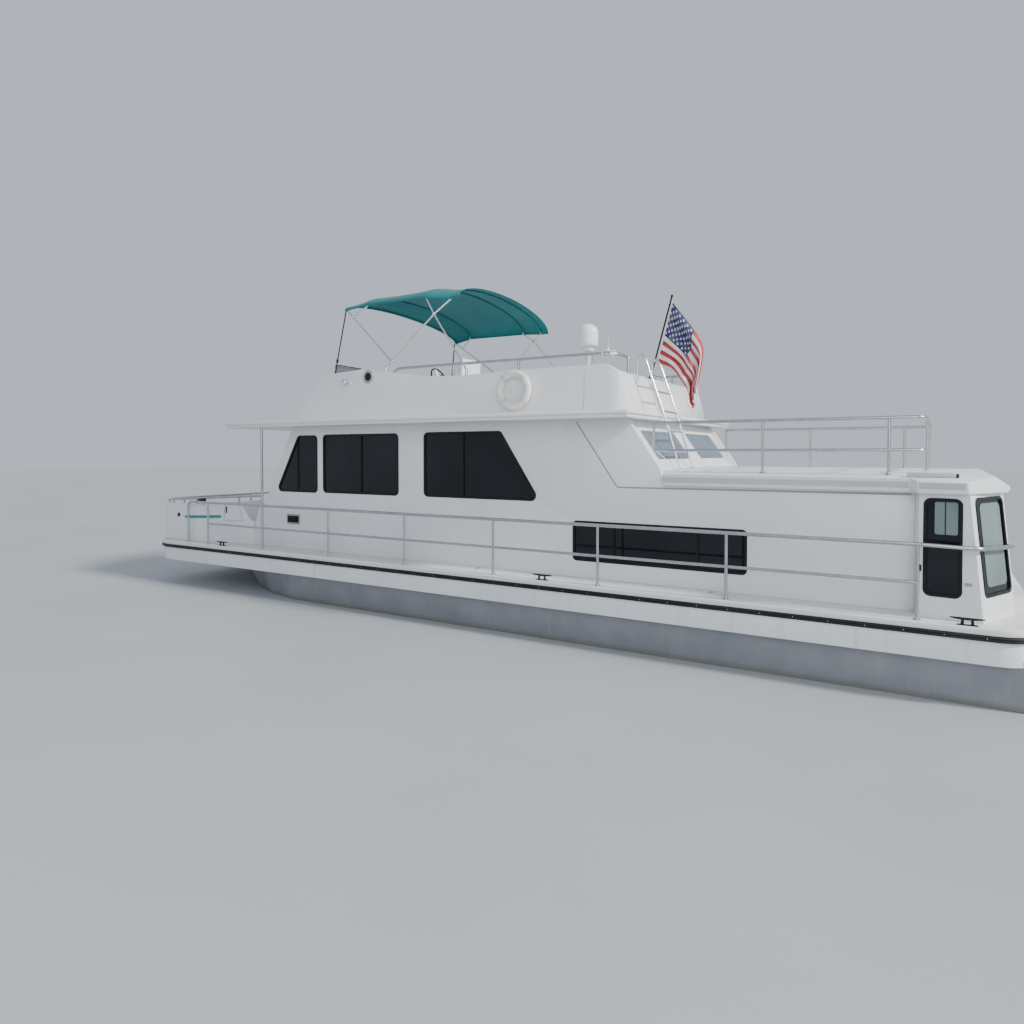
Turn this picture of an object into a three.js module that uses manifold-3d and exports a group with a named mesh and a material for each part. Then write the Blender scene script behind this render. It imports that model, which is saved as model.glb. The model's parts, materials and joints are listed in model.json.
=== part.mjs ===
// A cabin houseboat afloat: semi-V hull, raised saloon, sunken aft cabin, flybridge with a folding top.
// Millimetres. X points to the bow, Y to port, Z up. The origin is on the centreline at the water,
// near midlength, under the saloon.
import * as THREE from "three";
import { mergeVertices } from "three/addons/utils/BufferGeometryUtils.js";
import Module from "manifold-3d";

const wasm = await Module();
wasm.setup();

// Gap kept between neighbouring solids.
const gap = 0.3;

// Hull and deck
const hull = {
  halfBeam: 2135,
  sternX: -6130,
  bowX: 6450,
  bowRadius: 600,
  sternRadius: 350,
  bandLow: 400,
  railLow: 605,
  deckLow: 655,
  deckTop: 715,
  wellFloor: 60,
};
const floorZ = hull.deckTop + gap;

// Cabin walls: the outer face of the sides and how thick the mouldings are.
const wall = { outerY: 1700, thick: 50 };
const wallInnerY = wall.outerY - wall.thick;
const saloonRoof = {
  low: 2585,
  lip: 2625,
  top: 2665,
  lipInset: 22,
  halfWidth: 2090,
  frontX: 4650,
  aftX: -2480,
  cornerRadius: 450,
};
const aftRoof = { low: 1830, edge: 1940, crown: 2010 };

// Stern quarter: where the cabin side flares out to the deck edge, its corner, and the fold aft.
const quarter = {
  seamX: -5150,
  flareX: -5186,
  flareY: 1880,
  cornerX: -5681,
  cornerY: 1957,
  foldX: -5950,
  foldY: 1350,
  rake: 0.1,
  rakeFromX: -5520,
  rakeRun: 130,
};

// Flybridge
const bridge = { baseZ: 2665 + gap, floorZ: 2720, outerY: 1600, thick: 100, cowlX: 1900 };
const helm = {
  y: 0,
  halfWidth: 350,
  wheelX: 1670,
  wheelZ: 3400,
  wheelRadius: 180,
  wheelTilt: 25,
  shaftRadius: 12,
};

// Tube radii
const tubeRadius = { post: 16, rail: 19, grab: 19, bow: 12, ladder: 14 };

// Side rails: distance out, heights, and where the posts stand along the boat.
const sideRail = {
  y: 2050,
  topZ: 1385,
  midZ: 1045,
  posts: [5320, 4805, 3489, 2088, 687, -707, -2095, -3508, -5182],
  roofPostX: 3489,
};

const aftRail = { y: 1550, topZ: 2530, midZ: 2220, frontX: -2560, aftX: -5220, posts: [-3750, -4920] };

// Folding top: bows from front to aft, with their half widths, the height of their ends and the arch.
// It stands a little lower to starboard: lean is its slope across the boat.
const top = {
  thick: 22,
  bows: [
    { x: 2340, halfWidth: 1390, endZ: 4270, rise: 192 },
    { x: 1980, halfWidth: 1335, endZ: 4320, rise: 258 },
    { x: 870, halfWidth: 1340, endZ: 4306, rise: 298 },
    { x: 490, halfWidth: 1280, endZ: 4265, rise: 292 },
  ],
  lean: 0.048,
  frontX: 2375,
  aftX: 350,
  footY: 1530,
  hinge: { x: 1460, z: 3400 },
  brace: { x: 50, z: 3300 },
  fold: { x: 690, y: 1400, z: 4120 },
  front: { x: 1362, y: 1515, z: 3492 },
  slideShare: 0.86,
};

// Driveline, one side; the other is its mirror image.
const drive = {
  y: 760,
  propX: -5200,
  propZ: -680,
  propRadius: 230,
  blades: 4,
  shaftRadius: 20,
  shaftRise: 0.16,
  shaftFrontX: -2400,
  strutX: -4950,
  rudderX: -5720,
  rudderTopZ: -430,
  rudderLowZ: -860,
  stockRadius: 22,
};

// Inside the hull: the engine bay's floor, and the sole of the aft cabin is hull.wellFloor.
const engineBayFloor = -180;

const lockerHatch = { x: [5250, 5850], halfWidth: 350, thick: 30 };

const paint = (color, roughness, metalness = 0) =>
  new THREE.MeshStandardMaterial({ color, roughness, metalness });
const finishes = {
  gelcoat: paint(0xe9ecef, 0.35),
  bottom: paint(0x565c63, 0.7),
  black: paint(0x15171a, 0.6),
  glass: paint(0x1a2024, 0.1),
  steel: paint(0xb9c0c6, 0.25, 0.9),
  bronze: paint(0xa98445, 0.35, 0.9),
  canvas: paint(0x17706b, 0.9),
  vinyl: paint(0xe6e2d6, 0.6),
  cloth: paint(0xb22438, 0.8),
  engine: paint(0x3c4a52, 0.5, 0.4),
  wood: paint(0xa9794a, 0.6),
};

const boat = new THREE.Group();

// A three.js geometry as a solid that can be cut and joined, its faces turned outwards.
function solid(geometry) {
  const bare = geometry.index ? geometry.toNonIndexed() : geometry.clone();
  bare.deleteAttribute("normal");
  bare.deleteAttribute("uv");
  return fromTriangles(mergeVertices(bare, 1e-3));
}

function fromTriangles(geometry) {
  const corners = geometry.index.array;
  const triangles = [];
  for (let i = 0; i < corners.length; i += 3) {
    const [a, b, c] = corners.subarray(i, i + 3);
    if (a !== b && b !== c && c !== a) {
      triangles.push(a, b, c);
    }
  }
  const make = (triVerts) =>
    new wasm.Manifold(
      new wasm.Mesh({
        numProp: 3,
        vertProperties: geometry.attributes.position.array,
        triVerts: new Uint32Array(triVerts),
      }),
    );
  const made = make(triangles);
  return made.volume() > 0 ? made : make(triangles.reverse());
}

function toGeometry(body) {
  const { vertProperties, triVerts } = body.getMesh();
  const geometry = new THREE.BufferGeometry();
  geometry.setAttribute("position", new THREE.BufferAttribute(Float32Array.from(vertProperties), 3));
  geometry.setIndex(new THREE.BufferAttribute(Uint32Array.from(triVerts), 1));
  return geometry;
}

const joined = (solids) => solids.reduce((all, next) => all.add(next));

// Adds a solid to the boat as a named mesh.
function piece(name, body, finish) {
  const geometry = toGeometry(body);
  geometry.computeVertexNormals();
  const mesh = new THREE.Mesh(geometry, finishes[finish]);
  mesh.name = name;
  boat.add(mesh);
}

// The same shape on the other side of the centreline.
const mirrored = (body) => fromTriangles(toGeometry(body).scale(1, -1, 1));

const moved = (body, x, y, z) => fromTriangles(toGeometry(body).translate(x, y, z));

function pair(name, portBody, finish) {
  piece(`${name}_port`, portBody, finish);
  piece(`${name}_starboard`, mirrored(portBody), finish);
}

// Cuts a piece back so that it stays the usual gap clear of another on every side.
function clearOf(body, other) {
  const ways = [[1, 0, 0], [-1, 0, 0], [0, 1, 0], [0, -1, 0], [0, 0, 1], [0, 0, -1]];
  return ways.reduce((left, way) => left.subtract(moved(other, ...way.map((k) => k * gap))), body);
}

const shapeOf = (points) => new THREE.Shape(points.map(([a, b]) => new THREE.Vector2(a, b)));

const extrude = (points, depth) =>
  new THREE.ExtrudeGeometry(shapeOf(points), { depth, bevelEnabled: false, steps: 1 });

// A plan outline in X and Y, raised from one height to another.
const prismZ = (points, low, high) => solid(extrude(points, high - low).translate(0, 0, low));

// A side outline in X and Z, thickened from one Y to another.
const prismY = (points, fromY, toY) =>
  solid(extrude(points, toY - fromY).rotateX(Math.PI / 2).translate(0, toY, 0));

// A cross outline in Y and Z, run along X.
const prismX = (points, fromX, toX) =>
  solid(extrude(points, toX - fromX).rotateX(Math.PI / 2).rotateZ(Math.PI / 2).translate(fromX, 0, 0));

function block([x0, x1], [y0, y1], [z0, z1]) {
  const box = new THREE.BoxGeometry(x1 - x0, y1 - y0, z1 - z0);
  return solid(box.translate((x0 + x1) / 2, (y0 + y1) / 2, (z0 + z1) / 2));
}

// A round bar between two points.
function bar(from, to, radius, sides = 8) {
  const a = new THREE.Vector3(...from);
  const b = new THREE.Vector3(...to);
  const along = b.clone().sub(a);
  const geometry = new THREE.CylinderGeometry(radius, radius, along.length(), sides);
  const up = new THREE.Vector3(0, 1, 0);
  geometry.applyQuaternion(new THREE.Quaternion().setFromUnitVectors(up, along.normalize()));
  geometry.translate(...a.add(b).multiplyScalar(0.5).toArray());
  return solid(geometry);
}

// A round bar that bends at each of its points, mitred there.
function bentBar(points, radius, sides = 8) {
  const places = points.map((point) => new THREE.Vector3(...point));
  const along = places.slice(1).map((place, i) => place.clone().sub(places[i]).normalize());
  const turn = new THREE.Quaternion();
  const upright = Math.abs(along[0].z) < 0.9 ? new THREE.Vector3(0, 0, 1) : new THREE.Vector3(1, 0, 0);
  const across = upright.cross(along[0]).normalize();
  const rings = places.map((place, i) => {
    const before = along[Math.max(0, i - 1)];
    const after = along[Math.min(along.length - 1, i)];
    const normal = before.clone().add(after).normalize();
    const up = before.clone().cross(across);
    const ring = [];
    for (let k = 0; k < sides; k += 1) {
      const angle = (2 * Math.PI * k) / sides;
      const spoke = across.clone().multiplyScalar(Math.cos(angle)).addScaledVector(up, Math.sin(angle));
      const slide = spoke.dot(normal) / before.dot(normal);
      ring.push(place.clone().addScaledVector(spoke.addScaledVector(before, -slide), radius).toArray());
    }
    across.applyQuaternion(turn.setFromUnitVectors(before, after));
    return ring;
  });
  return loft(rings);
}

// Points on a circular arc, angles in degrees.
function arc(centreX, centreY, radius, fromDeg, toDeg, steps) {
  const points = [];
  for (let i = 0; i <= steps; i += 1) {
    const angle = THREE.MathUtils.degToRad(fromDeg + ((toDeg - fromDeg) * i) / steps);
    points.push([centreX + radius * Math.cos(angle), centreY + radius * Math.sin(angle)]);
  }
  return points;
}

// A polygon with each of its corners rounded off.
function rounded(corners, radius, steps = 3) {
  return corners.flatMap((corner, i) => {
    const here = new THREE.Vector2(...corner);
    const before = new THREE.Vector2(...corners.at(i - 1)).sub(here).normalize();
    const after = new THREE.Vector2(...corners[(i + 1) % corners.length]).sub(here).normalize();
    const half = Math.acos(before.dot(after)) / 2;
    const inwards = before.clone().add(after).normalize();
    const centre = here.clone().addScaledVector(inwards, radius / Math.sin(half));
    const from = here.clone().addScaledVector(before, radius / Math.tan(half)).sub(centre);
    const to = here.clone().addScaledVector(after, radius / Math.tan(half)).sub(centre);
    const sweep = Math.atan2(from.cross(to), from.dot(to));
    const fromDeg = THREE.MathUtils.radToDeg(from.angle());
    return arc(centre.x, centre.y, radius, fromDeg, fromDeg + THREE.MathUtils.radToDeg(sweep), steps);
  });
}

// Port half of a plan outline made whole by its mirror image.
function bothSides(portPoints) {
  const starboard = portPoints
    .filter(([, y]) => Math.abs(y) > 1e-6)
    .map(([x, y]) => [x, -y])
    .reverse();
  return [...portPoints, ...starboard];
}

// A closed solid lofted through rings that all have the same number of points. The two halves of a
// ring take opposite diagonals, so that a symmetric ring gives a symmetric solid. The end faces are
// strips between the ring's two halves, so a thin arched ring closes as well as a round one.
function loft(rings) {
  const count = rings[0].length;
  const last = (rings.length - 1) * count;
  const index = [];
  for (let i = 0; i < rings.length - 1; i += 1) {
    for (let j = 0; j < count; j += 1) {
      const a = i * count + j;
      const b = i * count + ((j + 1) % count);
      const [c, d] = [a + count, b + count];
      index.push(...(j < count / 2 ? [a, c, b, b, c, d] : [a, c, d, a, d, b]));
    }
  }
  for (let j = 0; j < Math.floor((count - 1) / 2); j += 1) {
    const [a, b, c, d] = [j, j + 1, count - 2 - j, count - 1 - j];
    const end = b < c ? [a, b, c, a, c, d] : [a, b, d];
    index.push(...end, ...end.map((corner) => last + corner).reverse());
  }
  const geometry = new THREE.BufferGeometry();
  geometry.setAttribute("position", new THREE.Float32BufferAttribute(rings.flat(2), 3));
  geometry.setIndex(index);
  return solid(geometry);
}

// Hull, rub rail and deck

// The deck edge, from the bow round to the stern, brought in by an inset.
function deckOutline(inset) {
  const { halfBeam, bowX, sternX, bowRadius, sternRadius } = hull;
  const bowCrown = 90;
  const sternCrown = 20;
  const bowCentre = [bowX - bowCrown - bowRadius, halfBeam - bowRadius];
  const sternCentre = [sternX + sternCrown + sternRadius, halfBeam - sternRadius];
  return bothSides([
    [bowX - inset, 0],
    ...arc(...bowCentre, bowRadius - inset, 8, 90, 8),
    ...arc(...sternCentre, sternRadius - inset, 90, 180, 5),
    [sternX + inset, 0],
  ]);
}

// Lower hull at a station: full width to the taper, then drawn in and up to the stem.
function hullSection(x) {
  const taperX = 2900;
  const tipX = 6260;
  const bow = Math.max(0, (x - taperX) / (tipX - taperX));
  const stern = Math.max(0, (-2000 - x) / 4100);
  const half = 2040 * (1 - bow ** 2.2);
  const chineHalf = half * (0.95 - 0.3 * bow);
  const chineZ = -170 + 480 * bow ** 1.5;
  const keelZ = -560 + 850 * bow ** 2.4 + 90 * stern;
  const topZ = hull.bandLow + 60;
  return [
    [x, 0, keelZ],
    [x, chineHalf, chineZ],
    [x, half, topZ],
    [x, -half, topZ],
    [x, -chineHalf, chineZ],
  ];
}

const hullStations = [-6085, -4600, -2000, 1200, 2900, 3500, 4100, 4700, 5200, 5600, 5900, 6100, 6220];

const shaftZ = (x) => drive.propZ + (x - drive.propX) * drive.shaftRise;
const shaftPoint = (x) => [x, drive.y, shaftZ(x)];

const solidHull = () =>
  prismZ(deckOutline(30), hull.bandLow, hull.deckLow - gap).add(loft(hullStations.map(hullSection)));

function makeHull() {
  const { shaftRadius, rudderX, y } = drive;
  const aftWell = block([-5480, -2700], [-1540, 1540], [hull.wellFloor, 900]);
  const engineBay = block([-2450, -700], [-1350, 1350], [engineBayFloor, 900]);
  const gearTrench = block([-2450, -700], [y - 120, y + 120], [engineBayFloor - 110, 0]);
  const shaftTunnel = bar(shaftPoint(-4400), shaftPoint(-2430), shaftRadius + 5, 16);
  const rudderBore = bar([rudderX, y, -1000], [rudderX, y, -150], drive.stockRadius + 0.5, 16);
  const portCuts = joined([gearTrench, shaftTunnel, rudderBore]);
  const locker = block([lockerHatch.x[0] + 60, lockerHatch.x[1] - 60], [-290, 290], [460, 900]);
  return solidHull().subtract(joined([aftWell, engineBay, locker, portCuts, mirrored(portCuts)]));
}

function makeRubRail() {
  const outer = prismZ(deckOutline(0), hull.railLow, hull.deckLow - gap);
  return outer.subtract(prismZ(deckOutline(30 - gap), hull.railLow - 10, hull.deckLow + 10));
}

function makeDeck() {
  const plate = prismZ(deckOutline(8), hull.deckLow, hull.deckTop);
  const cabinOpening = block([-5450, -2760], [-1500, 1500], [0, 1000]);
  const lockerMouth = block([lockerHatch.x[0] + 60, lockerHatch.x[1] - 60], [-290, 290], [0, 1000]);
  return plate.subtract(cabinOpening).subtract(lockerMouth);
}

// Lid of the anchor locker, lying on the foredeck and hinged along its aft edge.
function makeLockerHatch() {
  const { x, halfWidth, thick } = lockerHatch;
  return block(x, [-halfWidth, halfWidth], [floorZ, floorZ + thick]);
}

function makeSwimPlatform() {
  const { sternX } = hull;
  const plan = bothSides([
    [sternX + 10, 0],
    [sternX + 10, 1250],
    ...arc(sternX - 520 + 200, 1500 - 200, 200, 90, 180, 4),
  ]);
  const board = prismZ(plan, 250, 300);
  const bracket = [
    [sternX + 60, 60],
    [sternX - 380, 250],
    [sternX - 430, 255],
    [sternX + 60, 255],
  ];
  const arms = [-900, 900].map((y) => prismY(bracket, y - 20, y + 20));
  return clearOf(joined([board, ...arms]), solidHull());
}

// Bulwark round the foredeck, flaring from the cabin side out to the hull's edge.
const bulwark = { highZ: 1345, noseX: 6375, noseRadius: 400, outerY: 1995, flareX: 5200, endX: 4125 + gap };

function bulwarkOutline(inset, tail = 0) {
  const { noseX, noseRadius, outerY, flareX, endX } = bulwark;
  return bothSides([
    [noseX - inset, 0],
    ...arc(noseX - 40 - noseRadius, outerY - noseRadius, noseRadius - inset, 6, 84, 5),
    [flareX, outerY - 20 - inset],
    [endX - tail, wall.outerY - inset],
  ]);
}

function makeBulwark() {
  const { highZ } = bulwark;
  const outer = prismZ(bulwarkOutline(0), floorZ, highZ);
  const inner = prismZ(bulwarkOutline(wall.thick, 50), floorZ - 10, highZ + 10);
  const noseSlope = prismY([[6050, 1350], [6500, 1180], [6500, 1500], [6050, 1500]], -2500, 2500);
  const notch = prismY([[4100, 1090], [4180, 1090], [4420, 1420], [4100, 1420]], -2500, 2500);
  return outer.subtract(inner).subtract(noseSlope).subtract(notch);
}

// Cabin sides and their windows

// Side windows: corners in X and Z, and how far each corner is rounded.
const sideWindows = [
  { radius: 60, corners: [[3560, 1600], [3080, 2445], [2675, 2445], [2675, 1600]] },
  { radius: 60, corners: [[2540, 1606], [2540, 2452], [1092, 2452], [1092, 1606]] },
  { radius: 60, corners: [[628, 1610], [628, 2458], [-590, 2458], [-1150, 1610]] },
  { radius: 40, corners: [[-1622, 926], [-1622, 1378], [-3622, 1378], [-3622, 926]] },
];

// Four corners from two pairs of limits.
const rectangle = ([a0, a1], [b0, b1]) => [[a0, b0], [a1, b0], [a1, b1], [a0, b1]];

const cabinSideOutline = [
  [4125, floorZ],
  [4075, 1112],
  [3970, 1357],
  [3766, 1556],
  [3205, saloonRoof.low - gap],
  [-2300, saloonRoof.low - gap],
  [-2690, 2020],
  [-2735, aftRoof.low - gap],
  [quarter.seamX + gap, aftRoof.low - gap],
  [quarter.seamX + gap, floorZ],
];

function makeCabinSide() {
  const whole = prismY(cabinSideOutline, wallInnerY, wall.outerY);
  const openings = sideWindows.map(({ corners, radius }) =>
    prismY(rounded(corners, radius), wallInnerY - 20, wall.outerY + 20),
  );
  return whole.subtract(joined(openings));
}

// An outline drawn in towards its middle on all sides.
function shrunk(points, by) {
  const middle = (k) => points.reduce((sum, point) => sum + point[k], 0) / points.length;
  const [midX, midZ] = [middle(0), middle(1)];
  return points.map(([x, z]) => [x - Math.sign(x - midX) * by, z - Math.sign(z - midZ) * by]);
}

// A pane set into its opening.
const pane = ({ corners, radius }) =>
  prismY(rounded(shrunk(corners, gap), radius), wallInnerY - 4, wall.outerY - 12);

// The panes of one side, standing on a sill inside the cabin wall.
function makeSideWindows() {
  const innerY = [wallInnerY - 30, wallInnerY - gap];
  const sill = block([-1040, 3440], innerY, [1560, 1640]);
  const link = block([-1740, -960], innerY, [1340, 1640]);
  return joined([sill, link, ...sideWindows.map(pane)]);
}

// Stern quarter and bulkhead

// The quarter's plan from the seam round to the fold. An inset moves each of its faces inwards by as much.
function quarterOutline(inset) {
  const { seamX, flareX, flareY, cornerX, cornerY, foldX, foldY } = quarter;
  const edgeX = seamX - gap;
  return [
    [edgeX, wall.outerY - inset],
    [edgeX - 0.5 - inset * 0.82, wall.outerY - inset],
    [flareX - inset * 0.84, flareY - inset * 0.88],
    [cornerX + inset * 0.6, cornerY - inset * 1.1],
    [foldX + inset * 1.1, foldY],
  ];
}

// Leans everything aft of the tall window forward as it rises.
function rakedStern(body) {
  const geometry = toGeometry(body);
  const at = geometry.attributes.position;
  for (let i = 0; i < at.count; i += 1) {
    const share = THREE.MathUtils.clamp((quarter.rakeFromX - at.getX(i)) / quarter.rakeRun, 0, 1);
    at.setX(i, at.getX(i) + share * quarter.rake * (at.getZ(i) - hull.deckTop));
  }
  return fromTriangles(geometry);
}

const sternTopZ = aftRoof.low - gap;
const tallWindow = { x: [-5510, -5232], z: [920, 1778], radius: 50 };
const cornerWindow = { share: [0.13, 0.93], z: [935, 1788] };

// A point on the corner facet, by its share of the way from corner to fold and its depth inwards.
function facetPoint(share, depth) {
  const { cornerX, cornerY, foldX, foldY } = quarter;
  const dx = foldX - cornerX;
  const dy = foldY - cornerY;
  const length = Math.hypot(dx, dy);
  return [cornerX + dx * share - (dy / length) * depth, cornerY + dy * share + (dx / length) * depth];
}

function facetBlock([from, to], outside, inside, low, high) {
  const plan = [
    facetPoint(from, outside),
    facetPoint(to, outside),
    facetPoint(to, inside),
    facetPoint(from, inside),
  ];
  return prismZ(plan, low, high);
}

function sternQuarterWall() {
  const plan = [...quarterOutline(0), ...quarterOutline(wall.thick).reverse()];
  return prismZ(plan, floorZ, sternTopZ);
}

function makeSternQuarter() {
  const side = prismY(rounded(rectangle(tallWindow.x, tallWindow.z), tallWindow.radius), 1700, 2200);
  const corner = facetBlock(cornerWindow.share, -40, 110, ...cornerWindow.z);
  return rakedStern(sternQuarterWall().subtract(side).subtract(corner));
}

// The tall side pane and the corner pane, standing on a sill inside the quarter.
function makeSternWindows() {
  const tall = shrunk(rectangle(tallWindow.x, tallWindow.z), gap);
  const side = prismY(rounded(tall, tallWindow.radius), 1700, 2200);
  const slice = prismZ([...quarterOutline(10), ...quarterOutline(56).reverse()], floorZ, sternTopZ);
  const [from, to] = cornerWindow.share;
  const trim = 0.003;
  const [low, high] = cornerWindow.z;
  const corner = facetBlock([from + trim, to - trim], 10, 56, low + gap, high - gap);
  const inner = [...quarterOutline(wall.thick + 5), ...quarterOutline(wall.thick + 24).reverse()];
  const sill = prismZ(inner, 860, 940).subtract(block([quarter.foldX - 50, -5800], [0, 2000], [800, 1000]));
  return rakedStern(joined([side.intersect(slice), corner, sill]));
}

const sternDoor = { halfWidth: 360, highZ: 1780, thick: 34 };

function makeSternBulkhead() {
  const { foldX, foldY } = quarter;
  const bulkhead = block([foldX, foldX + wall.thick], [4 - foldY, foldY - 4], [floorZ, sternTopZ]);
  const cutX = [foldX - 20, foldX + 90];
  const doorway = block(cutX, [30 - sternDoor.halfWidth, sternDoor.halfWidth - 30], [600, 1760]);
  return rakedStern(bulkhead.subtract(doorway));
}

function makeSternDoor() {
  const { halfWidth, highZ, thick } = sternDoor;
  const faceX = quarter.foldX + wall.thick + 8;
  return rakedStern(block([faceX, faceX + thick], [-halfWidth, halfWidth], [floorZ + 0.2, highZ]));
}

// Front of the saloon: one flat raked bulkhead between the cabin sides.
const frontLine = [
  [4050, floorZ],
  [3155, saloonRoof.low - gap],
];

function frontSlab(fromDepth, toDepth, low, high) {
  const at = (depth) => frontLine.map(([x, z]) => [x - depth, z]);
  const slab = prismY([...at(fromDepth), ...at(toDepth).reverse()], gap - wallInnerY, wallInnerY - gap);
  return slab.intersect(block([2500, 4300], [-2000, 2000], [low, high]));
}

const frontDoor = { y: [-640, 60], highZ: 2440 };
const frontPaneSpans = [
  [230, 1500],
  [-1500, -790],
];
const frontPaneZ = [1640, 2440];
const frontPaneRadius = 60;

function makeCabinFront() {
  const slab = frontSlab(0, 60, floorZ, saloonRoof.low);
  const [y0, y1] = frontDoor.y;
  const doorway = block([2900, 4300], [y0 + 30, y1 - 30], [600, frontDoor.highZ - 25]);
  const panes = frontPaneSpans.map((span) =>
    prismX(rounded(rectangle(span, frontPaneZ), frontPaneRadius), 2900, 4300),
  );
  return slab.subtract(joined([doorway, ...panes]));
}

function makeFrontPane(span) {
  const outline = rounded(shrunk(rectangle(span, frontPaneZ), gap), frontPaneRadius);
  return frontSlab(16, 42, ...frontPaneZ).intersect(prismX(outline, 2500, 4300));
}

function makeFrontDoor() {
  const [y0, y1] = frontDoor.y;
  const slab = frontSlab(68, 104, floorZ + 0.2, frontDoor.highZ);
  return slab.intersect(block([2500, 4300], [y0, y1], [600, 3000]));
}

// Roofs

function makeAftRoof() {
  const { low, edge, crown } = aftRoof;
  const plan = bothSides([
    [-2560, 0],
    [-2560, wallInnerY - gap],
    [-2745, wallInnerY - gap],
    [-2745, 1760],
    [-5110, 1785],
    [-5170, 1965],
    [-5560, 2010],
    [-5890, 1420],
    [-5950, 0],
  ]);
  const slab = prismZ(plan, low, crown);
  const side = prismY(
    [
      [-2500, low - 10],
      [-2500, crown],
      [-5720, crown],
      [-5800, edge + 15],
      [-5900, low + 50],
      [-5865, low - 10],
    ],
    -2200,
    2200,
  );
  const camber = prismX(
    [
      [-2200, low - 10],
      [-2200, edge - 25],
      [-1500, crown - 20],
      [0, crown],
      [1500, crown - 20],
      [2200, edge - 25],
      [2200, low - 10],
    ],
    -6500,
    -2500,
  );
  return slab.intersect(side).intersect(camber);
}

// The saloon roof's edge seen from above, brought in by an inset.
function roofOutline(inset) {
  const { halfWidth, frontX, aftX, cornerRadius } = saloonRoof;
  const frontCrown = 60;
  const aftRadius = 60;
  const frontCentre = [frontX - frontCrown - cornerRadius, halfWidth - cornerRadius];
  return bothSides([
    [frontX - inset, 0],
    ...arc(...frontCentre, cornerRadius - inset, 8, 90, 5),
    ...arc(aftX + aftRadius, halfWidth - aftRadius, aftRadius - inset, 90, 180, 2),
  ]);
}

function makeSaloonRoof() {
  const { low, lip, top: high, lipInset } = saloonRoof;
  return prismZ(roofOutline(lipInset), low, lip).add(prismZ(roofOutline(0), lip, high));
}

const bulkheadPane = { y: [200, 1450], z: [2100, 2470], radius: 50 };

function makeSaloonAftBulkhead() {
  const outline = [
    [-2250, saloonRoof.low - gap],
    [-2675, 1960],
    [-2625, 1960],
    [-2200, saloonRoof.low - gap],
  ];
  const slab = prismY(outline, gap - wallInnerY, wallInnerY - gap);
  const paneOutline = rounded(rectangle(bulkheadPane.y, bulkheadPane.z), bulkheadPane.radius);
  const window = prismX(paneOutline, -2800, -2000);
  return clearOf(slab.subtract(window).subtract(mirrored(window)), makeAftRoof());
}

// Both panes of the aft bulkhead, joined by a strip across its inner face.
function makeBulkheadPanes() {
  const slab = (depth, thick) =>
    prismY(
      [
        [-2250 + depth, saloonRoof.low - gap],
        [-2640 + depth, aftRoof.crown + 1],
        [-2640 + depth + thick, aftRoof.crown + 1],
        [-2250 + depth + thick, saloonRoof.low - gap],
      ],
      -1500,
      1500,
    );
  const outline = rounded(shrunk(rectangle(bulkheadPane.y, bulkheadPane.z), gap), bulkheadPane.radius);
  const port = slab(12, 50).intersect(prismX(outline, -2800, -2000));
  const strip = slab(52, 14).intersect(block([-2800, -2000], [-400, 400], [2110, 2160]));
  return joined([port, mirrored(port), strip]);
}

// Driveline

// Turns a shape built along the X axis at the origin onto the port shaft, at a place along the boat.
function onShaft(body, x) {
  const geometry = toGeometry(body).rotateY(-Math.atan(drive.shaftRise));
  return fromTriangles(geometry.translate(...shaftPoint(x)));
}

const rodAlongX = (x0, x1, radius, sides) => bar([x0, 0, 0], [x1, 0, 0], radius, sides);

// One twisted blade standing up from the hub, as rings from the root to the tip.
function makeBlade() {
  const pitch = 420;
  const stations = [
    { radius: 30, chord: 90, thick: 22 },
    { radius: 100, chord: 160, thick: 14 },
    { radius: 170, chord: 180, thick: 9 },
    { radius: 215, chord: 120, thick: 6 },
    { radius: drive.propRadius, chord: 50, thick: 4 },
  ];
  const rings = stations.map(({ radius, chord, thick }) => {
    const angle = Math.atan2(pitch, 2 * Math.PI * radius);
    const [alongX, alongY] = [Math.sin(angle), Math.cos(angle)];
    const point = (c, t) => [c * alongX + t * alongY, c * alongY - t * alongX, radius];
    return [point(chord / 2, 0), point(0, thick / 2), point(-chord / 2, 0), point(0, -thick / 2)];
  });
  return loft(rings);
}

function makePropeller() {
  const { blades, propX, shaftFrontX, shaftRadius, shaftRise } = drive;
  const parts = [rodAlongX(-60, 60, 44, 16), rodAlongX(-110, -50, 26, 12)];
  for (let i = 0; i < blades; i += 1) {
    const turned = toGeometry(makeBlade()).rotateX((i * 2 * Math.PI) / blades);
    parts.push(fromTriangles(turned));
  }
  const shaftLength = (shaftFrontX - propX) * Math.hypot(1, shaftRise);
  parts.push(rodAlongX(0, shaftLength, shaftRadius, 16));
  return onShaft(joined(parts), propX);
}

function makeStrut() {
  const { y, strutX, shaftRadius } = drive;
  const z = shaftZ(strutX);
  const barrel = onShaft(rodAlongX(-55, 55, 36, 16), strutX);
  const arm = block([strutX - 40, strutX + 40], [y - 9, y + 9], [z, -300]);
  const palm = block([strutX - 110, strutX + 110], [y - 45, y + 45], [-395, -300]);
  const bearing = onShaft(rodAlongX(-80, 80, shaftRadius + 0.5, 16), strutX);
  const strut = joined([barrel, arm, palm]).subtract(bearing);
  return clearOf(strut, solidHull());
}

function makeRudder() {
  const { y, rudderX, rudderTopZ, rudderLowZ, stockRadius } = drive;
  const foil = [
    [rudderX + 100, y - 4],
    [rudderX + 100, y + 4],
    [rudderX + 40, y + 18],
    [rudderX - 60, y + 20],
    [rudderX - 250, y + 3],
    [rudderX - 250, y - 3],
    [rudderX - 60, y - 20],
    [rudderX + 40, y - 18],
  ];
  const blade = prismZ(foil, rudderLowZ, rudderTopZ);
  const stock = bar([rudderX, y, rudderLowZ + 60], [rudderX, y, -160], stockRadius, 16);
  return blade.add(stock);
}

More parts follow.
